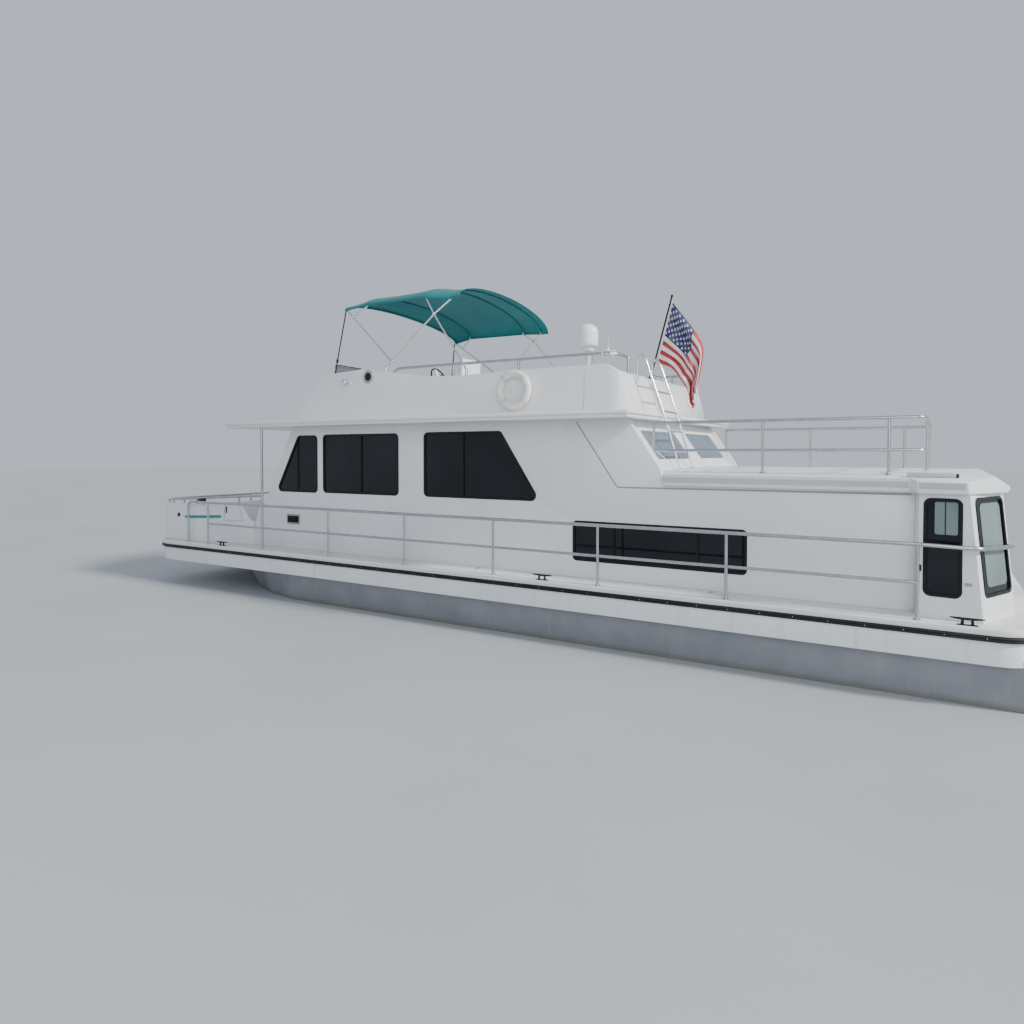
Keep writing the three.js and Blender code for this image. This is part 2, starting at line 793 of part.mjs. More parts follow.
// An engine with its gearbox, as one plain block at its place.
function makeEngine() {
  const { y, shaftFrontX } = drive;
  const engine = block([-2150, -1050], [y - 270, y + 270], [engineBayFloor + gap, 470]);
  const gearbox = block([shaftFrontX + 5, -2100], [y - 100, y + 100], [engineBayFloor - 100, 120]);
  return engine.add(gearbox);
}

// Rails round the deck and roofs

const roundBase = (x, y, z) => bar([x, y, z], [x, y, z + 8], tubeRadius.post * 2.4, 10);

function makeSideRail() {
  const { y, topZ, midZ, posts, roofPostX } = sideRail;
  const { post, rail } = tubeRadius;
  const [firstX, secondX] = posts;
  const lastX = posts[posts.length - 1];
  const lean = quarter.rake * (1345 - hull.deckTop);
  const [endX, endY] = facetPoint(0.97, 8);
  const [bendX, bendY] = facetPoint(0.9, -62);
  const parts = [
    bentBar([[firstX, y, floorZ], [firstX, y, topZ - 60], [firstX - 60, y, topZ], [lastX, y, topZ]], rail),
    bentBar(
      [
        [lastX + 10, y, topZ],
        [-5640, y, 1372],
        [bendX + lean, bendY, 1345],
        [endX + lean, endY, 1345],
      ],
      rail,
    ),
    bar([secondX, y, midZ], [lastX, y, midZ], post),
    bar([roofPostX, y, floorZ], [roofPostX, y, saloonRoof.low - gap], 20, 12),
    roundBase(firstX, y, floorZ),
  ];
  for (const x of posts.slice(1)) {
    parts.push(bar([x, y, floorZ], [x, y, topZ], post), roundBase(x, y, floorZ));
  }
  return clearOf(joined(parts), makeSternQuarter());
}

// Rail on top of the bulwark, from cabin side to cabin side round the bow.
function makeBowRail() {
  const portPath = [
    [3930, 1672, 1503],
    [4430, 1740, 1480],
    [5200, 1950, 1436],
    [5850, 1970, 1402],
    [6230, 1800, 1386],
    [6330, 1450, 1382],
    [6350, 0, 1382],
  ];
  const starboardPath = portPath.slice(0, -1).reverse().map(([x, y, z]) => [x, -y, z]);
  const parts = [bentBar([...portPath, ...starboardPath], tubeRadius.rail)];
  for (const [x, y, z] of [...portPath.slice(1), ...starboardPath.slice(0, -1)]) {
    parts.push(bar([x, y, 1240], [x, y, z], tubeRadius.post));
  }
  return clearOf(joined(parts), makeBulwark());
}

function makeAftRoofRail() {
  const { y, topZ, midZ, frontX, aftX, posts } = aftRail;
  const loop = (z) => {
    const port = [
      [frontX, y, z],
      [aftX + 90, y, z],
      [aftX, y - 90, z],
    ];
    return [...port, ...port.map(([x, side, height]) => [x, -side, height]).reverse()];
  };
  const parts = [bentBar(loop(topZ), tubeRadius.rail), bentBar(loop(midZ), tubeRadius.post)];
  const uprights = [
    ...posts.map((x) => ({ x, side: y, low: aftRoof.low })),
    { x: frontX, side: y, low: midZ },
    { x: aftX, side: 500, low: aftRoof.low },
  ];
  for (const { x, side, low } of uprights) {
    for (const sign of [1, -1]) {
      parts.push(bar([x, side * sign, low], [x, side * sign, topZ], tubeRadius.post));
    }
  }
  return clearOf(joined(parts), makeAftRoof());
}

// Flybridge

const coaming = [
  [3400, 2740],
  [2630, 3375],
  [1920, 3410],
  [1300, 3330],
  [700, 3240],
  [110, 3220],
  [-660, 3240],
  [-1970, 3240],
  [-2120, 3140],
  [-2270, 2690],
];

// Height of the coaming's top edge at a place along the boat.
function coamingZ(x) {
  const i = coaming.findIndex(([stationX]) => stationX <= x);
  const [[x0, z0], [x1, z1]] = [coaming[i - 1], coaming[i]];
  return z0 + ((z1 - z0) * (x - x0)) / (x1 - x0);
}

function makeFlybridge() {
  const { baseZ, floorZ: deckZ, outerY, thick, cowlX } = bridge;
  const topY = outerY - 50;
  const profile = prismY([[3400, baseZ], ...coaming, [-2278, baseZ]], -2000, 2000);
  const lean = prismX(
    [[-outerY, baseZ], [outerY, baseZ], [topY, 3300], [topY, 3500], [-topY, 3500], [-topY, 3300]],
    -3000,
    4000,
  );
  const plan = bothSides([
    [3400, 0],
    ...arc(3120, outerY - 220, 220, 8, 90, 5),
    ...arc(-2028, outerY - 250, 250, 90, 176, 4),
    [-2278, 0],
  ]);
  const cockpit = bothSides([
    [cowlX, 0],
    [cowlX, topY - thick],
    [-1980, topY - thick],
    [-2070, topY - thick - 90],
    [-2070, 0],
  ]);
  const underCowl = [
    [cowlX - 10, deckZ],
    [3230, deckZ],
    [3080, 2930],
    [2590, 3290],
    [cowlX - 10, 3340],
  ];
  const hollow = prismZ(cockpit, deckZ, 3600).add(prismY(underCowl, -1150, 1150));
  return prismZ(plan, baseZ, 3500).intersect(profile).intersect(lean).subtract(hollow);
}

// Low wraparound windscreen along the front edge of the cowl.
function makeWindscreen() {
  const thick = 8;
  const line = (inset) => [
    [1960, 1495 - inset],
    [2420, 1480 - inset],
    [2570 - inset * 0.5, 1430 - inset * 0.9],
    [2630 - inset, 1310 - inset * 0.5],
    [2650 - inset, 0],
  ];
  const outer = bothSides([...line(0)].reverse());
  const inner = bothSides([...line(thick)].reverse());
  const ring = prismZ(outer, 3300, 3530).subtract(prismZ(inner, 3290, 3540));
  const edge = [
    [1965, 3300],
    [2700, 3300],
    [2700, 3520],
    [2480, 3520],
    [1965, 3425],
  ];
  return clearOf(ring.intersect(prismY(edge, -2000, 2000)), makeFlybridge());
}

// Grab rail along one side of the flybridge, and its return across the aft corner.
function makeFlybridgeRail() {
  const y = 1480;
  const { grab, post } = tubeRadius;
  const side = [
    [1360, y, coamingZ(1360) - 20],
    [1270, y, 3392],
    [-1850, y, 3378],
    [-2010, y - 60, 3372],
    [-2060, y - 220, 3368],
    [-2060, 1180, 3366],
  ];
  const parts = [bentBar(side, grab), bar([-2100, 1180, 3000], [-2100, 1180, 3366], post)];
  parts.push(bar([-2100, 1180, 3366], [-2060, 1180, 3366], post));
  for (const x of [300, -730, -1750]) {
    parts.push(bar([x, y, 3150], [x, y, 3380], post));
  }
  return clearOf(joined(parts), makeFlybridge());
}

const consoleFace = [
  [bridge.cowlX - gap, bridge.floorZ + gap],
  [bridge.cowlX - gap, 3405],
  [1800, 3405],
  [1690, 3240],
  [1690, bridge.floorZ + gap],
];

// Turns a shape built along the X axis at the origin into line with the steering shaft.
function onColumn(body) {
  const geometry = toGeometry(body).rotateY(THREE.MathUtils.degToRad(helm.wheelTilt));
  return fromTriangles(geometry.translate(helm.wheelX, helm.y, helm.wheelZ));
}

function makeConsole() {
  const body = prismY(consoleFace, helm.y - helm.halfWidth, helm.y + helm.halfWidth);
  return body.subtract(onColumn(rodAlongX(0, 190, helm.shaftRadius + 0.5, 16)));
}

// Steering wheel on its short shaft, tilted back to face the seat.
function makeHelmWheel() {
  const { wheelRadius, shaftRadius } = helm;
  const spokes = [0, 120, 240].map((turn) => {
    const angle = THREE.MathUtils.degToRad(turn + 90);
    const end = [0, Math.cos(angle) * wheelRadius, Math.sin(angle) * wheelRadius];
    return bar([0, 0, 0], end, 8);
  });
  const rim = solid(new THREE.TorusGeometry(wheelRadius, 13, 8, 24).rotateY(Math.PI / 2));
  const hub = rodAlongX(-20, 60, 24, 12);
  const shaft = rodAlongX(0, 170, shaftRadius, 16);
  return onColumn(joined([rim, hub, shaft, ...spokes]));
}

function makeSeatStand() {
  const { floorZ: deckZ } = bridge;
  const foot = bar([1330, helm.y, deckZ + gap], [1330, helm.y, deckZ + 20], 170, 16);
  const post = bar([1330, helm.y, deckZ + gap], [1330, helm.y, 3140], 45, 12);
  const shell = block([1060, 1570], [helm.y - 260, helm.y + 260], [3140, 3175]);
  const back = prismY(
    [[1060, 3140], [1100, 3140], [1060, 3660], [1020, 3660]],
    helm.y - 250,
    helm.y + 250,
  );
  return joined([foot, post, shell, back]);
}

const makeSeatCushion = () =>
  block([1110, 1560], [helm.y - 245, helm.y + 245], [3175 + gap, 3275]);

function makeBackCushion() {
  const lean = [
    [1089, 3290],
    [1180, 3290],
    [1145, 3660],
    [1060.5, 3660],
  ];
  return prismY(lean, helm.y - 240, helm.y + 240);
}

// Folding top

// Where a bow has its points: each bow is half an ellipse, and these are the turns round it, in degrees.
const bowTurns = [-90, -80, -66, -50, -32, -16, 0, 16, 32, 50, 66, 80, 90];

// Points along a bow, or along a line that runs a little way outside it.
function archPoints({ x, halfWidth, endZ, rise }, outside) {
  const line = bowTurns.map((turn) => {
    const angle = THREE.MathUtils.degToRad(turn);
    const y = halfWidth * Math.sin(angle);
    return [y, endZ + rise * Math.cos(angle) + top.lean * y];
  });
  const normals = line.slice(1).map(([y, z], i) => {
    const length = Math.hypot(y - line[i][0], z - line[i][1]);
    return [(line[i][1] - z) / length, (y - line[i][0]) / length];
  });
  return line.map(([y, z], i) => {
    const [ny, nz] = normals[Math.max(0, i - 1)];
    const [my, mz] = normals[Math.min(normals.length - 1, i)];
    const scale = outside / (1 + ny * my + nz * mz);
    return [x, y + (ny + my) * scale, z + (nz + mz) * scale];
  });
}

function makeTopFrame() {
  const { bows, lean, hinge, brace, fold, front: foot, footY, slideShare } = top;
  const tube = tubeRadius.bow;
  const [front, second, third, aft] = bows;
  const parts = bows.map((bow) => bentBar(archPoints(bow, 0), tube));
  for (const side of [1, -1]) {
    const at = (x, y, z) => [x, y * side, z];
    const bowEnd = ({ x, halfWidth, endZ }) => at(x, halfWidth, endZ + lean * halfWidth * side);
    const hingePoint = at(hinge.x, footY, hinge.z);
    const bracePoint = at(brace.x, footY, brace.z);
    const foldPoint = at(fold.x, fold.y, fold.z);
    const footPoint = at(foot.x, foot.y, foot.z);
    const slidePoint = bowEnd(front).map((end, k) => footPoint[k] + (end - footPoint[k]) * slideShare);
    parts.push(bentBar([hingePoint, foldPoint, bowEnd(aft)], tube));
    parts.push(bar(footPoint, bowEnd(front), tube));
    parts.push(bar(slidePoint, bowEnd(second), tube));
    parts.push(bar(bracePoint, foldPoint, tube));
    parts.push(bar(foldPoint, bowEnd(third), tube));
    for (const { x, z } of [hinge, brace]) {
      parts.push(bar(at(x, footY, coamingZ(x) - 10), at(x, footY, z + 8), 18, 10));
    }
  }
  return clearOf(clearOf(joined(parts), makeCanopy()), makeFlybridge());
}

// The canvas, lying on its bows.
function makeCanopy() {
  const { bows, frontX, aftX, thick } = top;
  const lift = tubeRadius.bow + 0.4;
  const first = { ...bows[0], x: frontX };
  const last = { ...bows[bows.length - 1], x: aftX };
  const stations = [first, ...bows, last];
  const rings = stations.map((bow) => [
    ...archPoints(bow, lift),
    ...archPoints(bow, lift + thick).reverse(),
  ]);
  return loft(rings);
}

// Gear on the flybridge

function makeRadar() {
  const pole = bar([-1650, 1360, bridge.floorZ + gap], [-1650, 1360, 3450], 28, 12);
  const foot = bar([-1650, 1360, bridge.floorZ + gap], [-1650, 1360, bridge.floorZ + 14], 70, 12);
  const outline = [
    [0, 3430],
    [66, 3430],
    [74, 3470],
    [112, 3490],
    [122, 3520],
    [124, 3650],
    [104, 3715],
    [62, 3752],
    [0, 3768],
  ];
  const points = outline.map(([r, z]) => new THREE.Vector2(r, z));
  const dome = new THREE.LatheGeometry(points, 16).rotateX(Math.PI / 2);
  return joined([pole, foot, solid(dome.translate(-1650, 1360, 0))]);
}

function makeLifeRing() {
  const [x, y, z] = [-760, 1648, 2985];
  const ring = solid(new THREE.TorusGeometry(205, 47, 10, 28).rotateX(Math.PI / 2).translate(x, y, z));
  const hook = (side) => block([x + side - 15, x + side + 15], [1560, y], [z - 200, z - 160]);
  return clearOf(joined([ring, hook(-90), hook(90)]), makeFlybridge());
}

function makeLadder() {
  const { ladder } = tubeRadius;
  const line = [
    [-2275, 3330],
    [-2528, 2600],
    [-2712, 1980],
  ];
  const at = (z) => {
    const [[x0, z0], [x1, z1]] = z > line[1][1] ? [line[0], line[1]] : [line[1], line[2]];
    return x0 + ((x1 - x0) * (z - z0)) / (z1 - z0);
  };
  const crook = [[-2165, 2980], [-2180, 3350], [-2225, 3385]];
  const stringer = [...crook, ...line];
  const parts = [570, 1070].map((y) => bentBar(stringer.map(([x, z]) => [x, y, z]), ladder));
  for (const z of [2210, 2450, 2690, 2930, 3130]) {
    parts.push(bar([at(z), 570, z], [at(z), 1070, z], ladder));
  }
  const clear = clearOf(joined(parts), makeAftRoof());
  return clearOf(clear, makeFlybridge());
}

// Staff standing on the aft coaming of the flybridge, and its flag
const staff = { y: 420, radius: 11, footX: -2091, footZ: 3142, topX: -2381, topZ: 4199 };
const staffSlope = (staff.topX - staff.footX) / (staff.topZ - staff.footZ);
const staffX = (z) => staff.footX + (z - staff.footZ) * staffSlope;

function makeStaff() {
  const { y, radius, topX, topZ } = staff;
  const lowZ = staff.footZ + 26;
  const pole = bar([staffX(lowZ), y, lowZ], [topX, y, topZ], radius, 10);
  const truck = solid(new THREE.SphereGeometry(18, 10, 8).translate(topX, y, topZ));
  const socket = block([-2120, -2076], [y - 25, y + 25], [staff.footZ - 22, staff.footZ + 48]);
  return clearOf(joined([pole, truck, socket]), makeFlybridge());
}

// The flag hangs from the staff, its free end gathered into a hanging point.
const flag = {
  hoistZ: [3365, 4138],
  fly: [
    [-2684, 3728], [-2776, 3580], [-2796, 3479], [-2782, 3330], [-2743, 3142], [-2690, 2890], [-2649, 2673],
    [-2556, 2742], [-2586, 2928], [-2575, 3061], [-2470, 3147], [-2396, 3274],
  ],
  // How far the folds reach to each side, along the boat.
  spread: [[-2100, 12], [-2400, 36], [-2900, 76]],
};

function makeFlag() {
  const clear = staff.radius * Math.hypot(1, staffSlope) + 0.5;
  const hoist = flag.hoistZ.map((z) => [staffX(z) - clear, z]);
  const plan = [...flag.spread, ...flag.spread.map(([x, half]) => [x, -half]).reverse()];
  const cloth = prismY([...hoist, ...flag.fly], staff.y - 100, staff.y + 100);
  return cloth.intersect(prismZ(plan.map(([x, side]) => [x, staff.y + side]), 2600, 4200));
}

// Inside the cabin

function makeAftBerth() {
  const { wellFloor } = hull;
  return block([-5300, -3400], [-850, 850], [wellFloor + gap, wellFloor + 480]);
}

const makeGalley = () => block([-900, 1000], [-1600, -1020], [floorZ, 1590]);

function makeSettee() {
  const seat = block([-900, 1600], [1000, 1590], [floorZ, 1130]);
  const back = block([-900, 1600], [1470, 1590], [1100, 1530]);
  return seat.add(back);
}

piece("hull", makeHull(), "bottom");
piece("rub_rail", makeRubRail(), "black");
piece("deck", makeDeck(), "gelcoat");
piece("locker_hatch", makeLockerHatch(), "gelcoat");
piece("swim_platform", makeSwimPlatform(), "gelcoat");
piece("bow_bulwark", makeBulwark(), "gelcoat");
pair("cabin_side", makeCabinSide(), "gelcoat");
pair("stern_quarter", makeSternQuarter(), "gelcoat");
piece("stern_bulkhead", makeSternBulkhead(), "gelcoat");
piece("cabin_front", makeCabinFront(), "gelcoat");
piece("saloon_aft_bulkhead", makeSaloonAftBulkhead(), "gelcoat");
piece("saloon_roof", makeSaloonRoof(), "gelcoat");
piece("aft_roof", makeAftRoof(), "gelcoat");
piece("stern_door", makeSternDoor(), "glass");
piece("front_door", makeFrontDoor(), "glass");
pair("side_windows", makeSideWindows(), "glass");
pair("stern_windows", makeSternWindows(), "glass");
piece("bulkhead_windows", makeBulkheadPanes(), "glass");
piece("windshield_port", makeFrontPane(frontPaneSpans[0]), "glass");
piece("windshield_starboard", makeFrontPane(frontPaneSpans[1]), "glass");
pair("side_rail", makeSideRail(), "steel");
piece("bow_rail", makeBowRail(), "steel");
piece("aft_roof_rail", makeAftRoofRail(), "steel");
piece("flybridge", makeFlybridge(), "gelcoat");
piece("flybridge_windscreen", makeWindscreen(), "glass");
pair("flybridge_rail", makeFlybridgeRail(), "steel");
piece("helm_console", makeConsole(), "gelcoat");
piece("helm_wheel", makeHelmWheel(), "black");
piece("helm_seat", makeSeatStand(), "gelcoat");
piece("seat_cushion", makeSeatCushion(), "vinyl");
piece("back_cushion", makeBackCushion(), "vinyl");
piece("bimini_frame", makeTopFrame(), "steel");
piece("bimini_canopy", makeCanopy(), "canvas");
piece("radar_dome", makeRadar(), "gelcoat");
piece("life_ring", makeLifeRing(), "gelcoat");
piece("roof_ladder", makeLadder(), "steel");
piece("flag_staff", makeStaff(), "black");
piece("flag", makeFlag(), "cloth");
pair("propeller", makePropeller(), "bronze");
pair("shaft_strut", makeStrut(), "bronze");
pair("rudder", makeRudder(), "bronze");
pair("engine", makeEngine(), "engine");
piece("aft_berth", makeAftBerth(), "wood");
piece("galley", makeGalley(), "wood");
piece("settee", makeSettee(), "wood");

export default boat;
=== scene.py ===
import json
import math
import bmesh
import bpy
from mathutils import Matrix, Quaternion, Vector

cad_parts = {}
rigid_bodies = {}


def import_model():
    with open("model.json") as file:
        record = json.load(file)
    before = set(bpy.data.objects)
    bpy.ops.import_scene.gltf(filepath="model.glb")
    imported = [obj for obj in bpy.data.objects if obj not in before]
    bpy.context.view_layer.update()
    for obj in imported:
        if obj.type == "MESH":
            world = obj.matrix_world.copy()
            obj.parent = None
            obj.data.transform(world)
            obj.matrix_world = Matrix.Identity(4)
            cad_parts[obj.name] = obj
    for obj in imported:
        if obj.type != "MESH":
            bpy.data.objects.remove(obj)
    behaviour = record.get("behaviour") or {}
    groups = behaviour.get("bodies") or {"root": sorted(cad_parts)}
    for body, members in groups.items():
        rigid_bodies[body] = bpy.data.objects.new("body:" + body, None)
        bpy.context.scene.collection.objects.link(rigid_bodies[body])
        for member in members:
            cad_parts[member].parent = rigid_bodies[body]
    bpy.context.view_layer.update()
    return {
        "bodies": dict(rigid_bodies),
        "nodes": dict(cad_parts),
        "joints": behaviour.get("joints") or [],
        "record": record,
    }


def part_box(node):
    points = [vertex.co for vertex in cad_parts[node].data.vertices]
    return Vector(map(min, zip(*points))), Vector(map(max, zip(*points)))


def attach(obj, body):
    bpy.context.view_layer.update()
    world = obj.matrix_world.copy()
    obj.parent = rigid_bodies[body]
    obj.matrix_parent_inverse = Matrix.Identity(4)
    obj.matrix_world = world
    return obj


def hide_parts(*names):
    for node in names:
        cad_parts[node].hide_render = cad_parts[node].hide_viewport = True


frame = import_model()
nodes = frame["nodes"]
record = frame["record"]
bodyOf = {node: body for body, members in record["behaviour"]["bodies"].items() for node in members}
slotOf = {part["node"]: part["material_slot"] for part in record["subparts"]}
print("frame loaded:", len(nodes), "nodes")


# shapes: each gives (points, faces), and makePiece joins them into one object

def rounded(corners, radius, steps=6):  # a flat polygon with its corners rounded off
    points = []
    for i, corner in enumerate(corners):
        here = Vector(corner)
        before = (Vector(corners[i - 1]) - here).normalized()
        after = (Vector(corners[(i + 1) % len(corners)]) - here).normalized()
        half = before.angle(after) / 2
        centre = here + (before + after).normalized() * radius / math.sin(half)
        start = here + before * radius / math.tan(half) - centre
        end = here + after * radius / math.tan(half) - centre
        sweep = math.atan2(start.x * end.y - start.y * end.x, start.dot(end))
        for k in range(steps + 1):
            a = sweep * k / steps
            cos, sin = polar(1, a)
            points.append(centre + Vector((start.x * cos - start.y * sin, start.x * sin + start.y * cos)))
    return points


def arcPoints(cx, cy, radius, fromDeg, toDeg, steps):
    arc = [polar(radius, math.radians(fromDeg + (toDeg - fromDeg) * k / steps)) for k in range(steps + 1)]
    return [(cx + x, cy + y) for x, y in arc]


def filleted(points, radius, steps=6):  # an open path whose bends are eased
    path = [Vector(points[0])]
    for before, here, after in zip(points, points[1:], points[2:]):
        before, here, after = Vector(before), Vector(here), Vector(after)
        back, on = before - here, after - here
        if back.angle(on) > math.radians(178):
            path.append(here)
            continue
        reach = min(radius, back.length * 0.48, on.length * 0.48)
        a, b = here + back.normalized() * reach, here + on.normalized() * reach
        for k in range(steps + 1):
            t = k / steps
            path.append(a * (1 - t) ** 2 + here * 2 * t * (1 - t) + b * t * t)
    return path + [Vector(points[-1])]


def turns(count):  # the angles of a full circle
    return [2 * math.pi * k / count for k in range(count)]


def polar(radius, angle):
    return radius * math.cos(angle), radius * math.sin(angle)


def rect(x0, x1, z0, z1):
    return [(x0, z0), (x1, z0), (x1, z1), (x0, z1)]


def between(x, a, b):  # the height at x on the line from a to b
    return a[1] + (b[1] - a[1]) * (x - a[0]) / (b[0] - a[0])


def evenProfile(upper):  # a profile that is the same below and above
    return [(a, -b) for a, b in upper] + upper[::-1]


def gridFaces(rows, row):  # quads of a sheet of points, row by row
    cells = [(i * row + j, (i + 1) * row + j) for i in range(rows - 1) for j in range(row - 1)]
    return [(a, a + 1, b + 1, b) for a, b in cells]


def skin(rings, closed=False):  # quads between rings of equal length
    count = len(rings[0])
    points = [tuple(p) for ring in rings for p in ring]
    faces = []
    for i in range(len(rings) if closed else len(rings) - 1):
        here, after = i * count, (i + 1) % len(rings) * count
        for j in range(count):
            k = (j + 1) % count
            faces.append((here + j, here + k, after + k, after + j))
    if not closed:
        faces += [tuple(reversed(range(count))), tuple(range(len(points) - count, len(points)))]
    return points, faces


def tube(path, radius, sides=12, closed=False):
    path = [Vector(p) for p in path]
    count = len(path)
    ways = []
    for i in range(count):
        before = path[i - 1] if closed or i else path[0]
        after = path[(i + 1) % count] if closed or i < count - 1 else path[-1]
        ways.append((after - before).normalized())
    across = ways[0].orthogonal().normalized()
    rings = []
    for i, way in enumerate(ways):
        if i:
            across = ways[i - 1].rotation_difference(way) @ across
        up = way.cross(across)
        width = radius[i] if isinstance(radius, (list, tuple)) else radius
        rings.append([path[i] + (across * math.cos(a) + up * math.sin(a)) * width for a in turns(sides)])
    if closed:  # the last ring meets the first with the twist that is left shared out
        end = ways[-1].rotation_difference(ways[0]) @ across
        twist = math.atan2(ways[0].dot(end.cross(rings[0][0] - path[0])), end.dot(rings[0][0] - path[0]))
        for i, way in enumerate(ways):
            turn = Quaternion(way, twist * i / count)
            rings[i] = [path[i] + turn @ (p - path[i]) for p in rings[i]]
    return skin(rings, closed)


def moulding(path, normal, profile, closed=True):  # a profile (outwards, along the normal) on a flat path
    path = [Vector(p) for p in path]
    normal = Vector(normal).normalized()
    count = len(path)
    rings = []
    for i, here in enumerate(path):
        before = path[i - 1] if closed or i else None
        after = path[(i + 1) % count] if closed or i < count - 1 else None
        legs = [(a, b) for a, b in ((before, here), (here, after)) if a is not None and b is not None]
        sides = [(b - a).normalized().cross(normal) for a, b in legs]
        out = sides[0] if len(sides) == 1 else (sides[0] + sides[1]) / (1 + sides[0].dot(sides[1]))
        rings.append([here + out * a + normal * b for a, b in profile])
    return skin(rings, closed)


def lathe(profile, centre, axis=(0, 0, 1), sides=48):  # profile of (radius, height) from pole to pole
    turn = Vector((0, 0, 1)).rotation_difference(Vector(axis))

    def put(x, y, z):
        return tuple(turn @ Vector((x, y, z)) + Vector(centre))

    points = [put(*polar(r, a), z) for r, z in profile[1:-1] for a in turns(sides)]
    low, last = len(points), (len(profile) - 3) * sides
    points += [put(0, 0, profile[0][1]), put(0, 0, profile[-1][1])]
    ring = [(k, (k + 1) % sides) for k in range(sides)]
    faces = []
    for i in range(0, last, sides):
        faces += [(i + k, i + j, i + sides + j, i + sides + k) for k, j in ring]
    for k, j in ring:
        faces += [(low, j, k), (low + 1, last + k, last + j)]  # fans to the two poles
    return points, faces


def easedCube(size, edge, steps, profile):
    bm = bmesh.new()
    bmesh.ops.create_cube(bm, size=1)
    bmesh.ops.scale(bm, vec=size, verts=bm.verts)
    bmesh.ops.bevel(bm, geom=bm.edges[:], offset=edge, segments=steps, profile=profile, affect="EDGES")
    return bm


def roundedBlock(low, high, bevel, steps=2, turn=None):
    size = Vector(high) - Vector(low)
    middle = (Vector(high) + Vector(low)) / 2
    bm = easedCube(size, min(bevel, min(size) * 0.49), steps, 0.5)
    points = [middle + v.co for v in bm.verts]
    faces = [tuple(v.index for v in f.verts) for f in bm.faces]
    bm.free()
    if turn:
        points = [middle + turn @ (p - middle) for p in points]
    return [tuple(p) for p in points], faces


def blockAt(spot, half, bevel, steps=2, turn=None):  # a block by its middle and half its size
    return roundedBlock(spot - Vector(half), spot + Vector(half), bevel, steps, turn)


def mirroredY(parts):
    turned = []
    for points, faces in parts:
        turned.append(([(x, -y, z) for x, y, z in points], [tuple(reversed(face)) for face in faces]))
    return turned


def linked(name, data):  # a new object in the scene
    thing = bpy.data.objects.new(name, data)
    bpy.context.scene.collection.objects.link(thing)
    return thing


def evaluated(thing):  # its mesh with the modifiers applied
    return bpy.data.meshes.new_from_object(thing.evaluated_get(bpy.context.evaluated_depsgraph_get()))


def smoothed(mesh, sharp=None):
    mesh.polygons.foreach_set("use_smooth", [True] * len(mesh.polygons))
    if sharp:
        mesh.set_sharp_from_angle(angle=math.radians(sharp))


def makePiece(name, parts, finish, body="boat", replaces=(), sharp=38):
    points, faces = [], []
    for partPoints, partFaces in parts:
        start = len(points)
        points += [tuple(p) for p in partPoints]
        faces += [tuple(i + start for i in face) for face in partFaces]
    mesh = bpy.data.meshes.new(name)
    mesh.from_pydata(points, [], faces)
    bm = bmesh.new()
    bm.from_mesh(mesh)
    bmesh.ops.remove_doubles(bm, verts=bm.verts, dist=2e-5)
    bmesh.ops.recalc_face_normals(bm, faces=bm.faces)
    bm.to_mesh(mesh)
    bm.free()
    smoothed(mesh, sharp)
    return place(name, mesh, finish, body, replaces)


def makePair(name, parts, finish, replaces=None):  # a piece to port and its mirror to starboard
    for side, turned in (("port", list), ("starboard", mirroredY)):
        stands = [f"{replaces}_{side}"] if replaces else ()
        makePiece(f"{name}_{side}", turned(parts), finish, replaces=stands)


def place(name, mesh, finish, body="boat", replaces=()):
    piece = linked(name, mesh)
    mesh.materials.clear()
    mesh.materials.append(finish)
    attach(piece, body)
    if replaces:
        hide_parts(*replaces)
    return piece


def softened(node, edge, finish, steps=3, sharp=38):  # a moulding's own shape with its edges eased
    mesh = nodes[node].data.copy()
    bm = bmesh.new()
    bm.from_mesh(mesh)
    bmesh.ops.remove_doubles(bm, verts=bm.verts, dist=2e-5)
    bmesh.ops.dissolve_limit(bm, angle_limit=math.radians(1), verts=bm.verts, edges=bm.edges)
    edges = [e for e in bm.edges if len(e.link_faces) == 2 and e.calc_face_angle(0) > math.radians(sharp)]
    bmesh.ops.bevel(
        bm, geom=edges, offset=edge, segments=steps, profile=0.5, affect="EDGES", clamp_overlap=True,
    )
    bmesh.ops.triangulate(bm, faces=[f for f in bm.faces if len(f.verts) > 4])
    bm.to_mesh(mesh)
    bm.free()
    smoothed(mesh, sharp)
    return place(node + "_shell", mesh, finish, bodyOf[node], [node])


# a row of small things along a path, such as screws or stitches

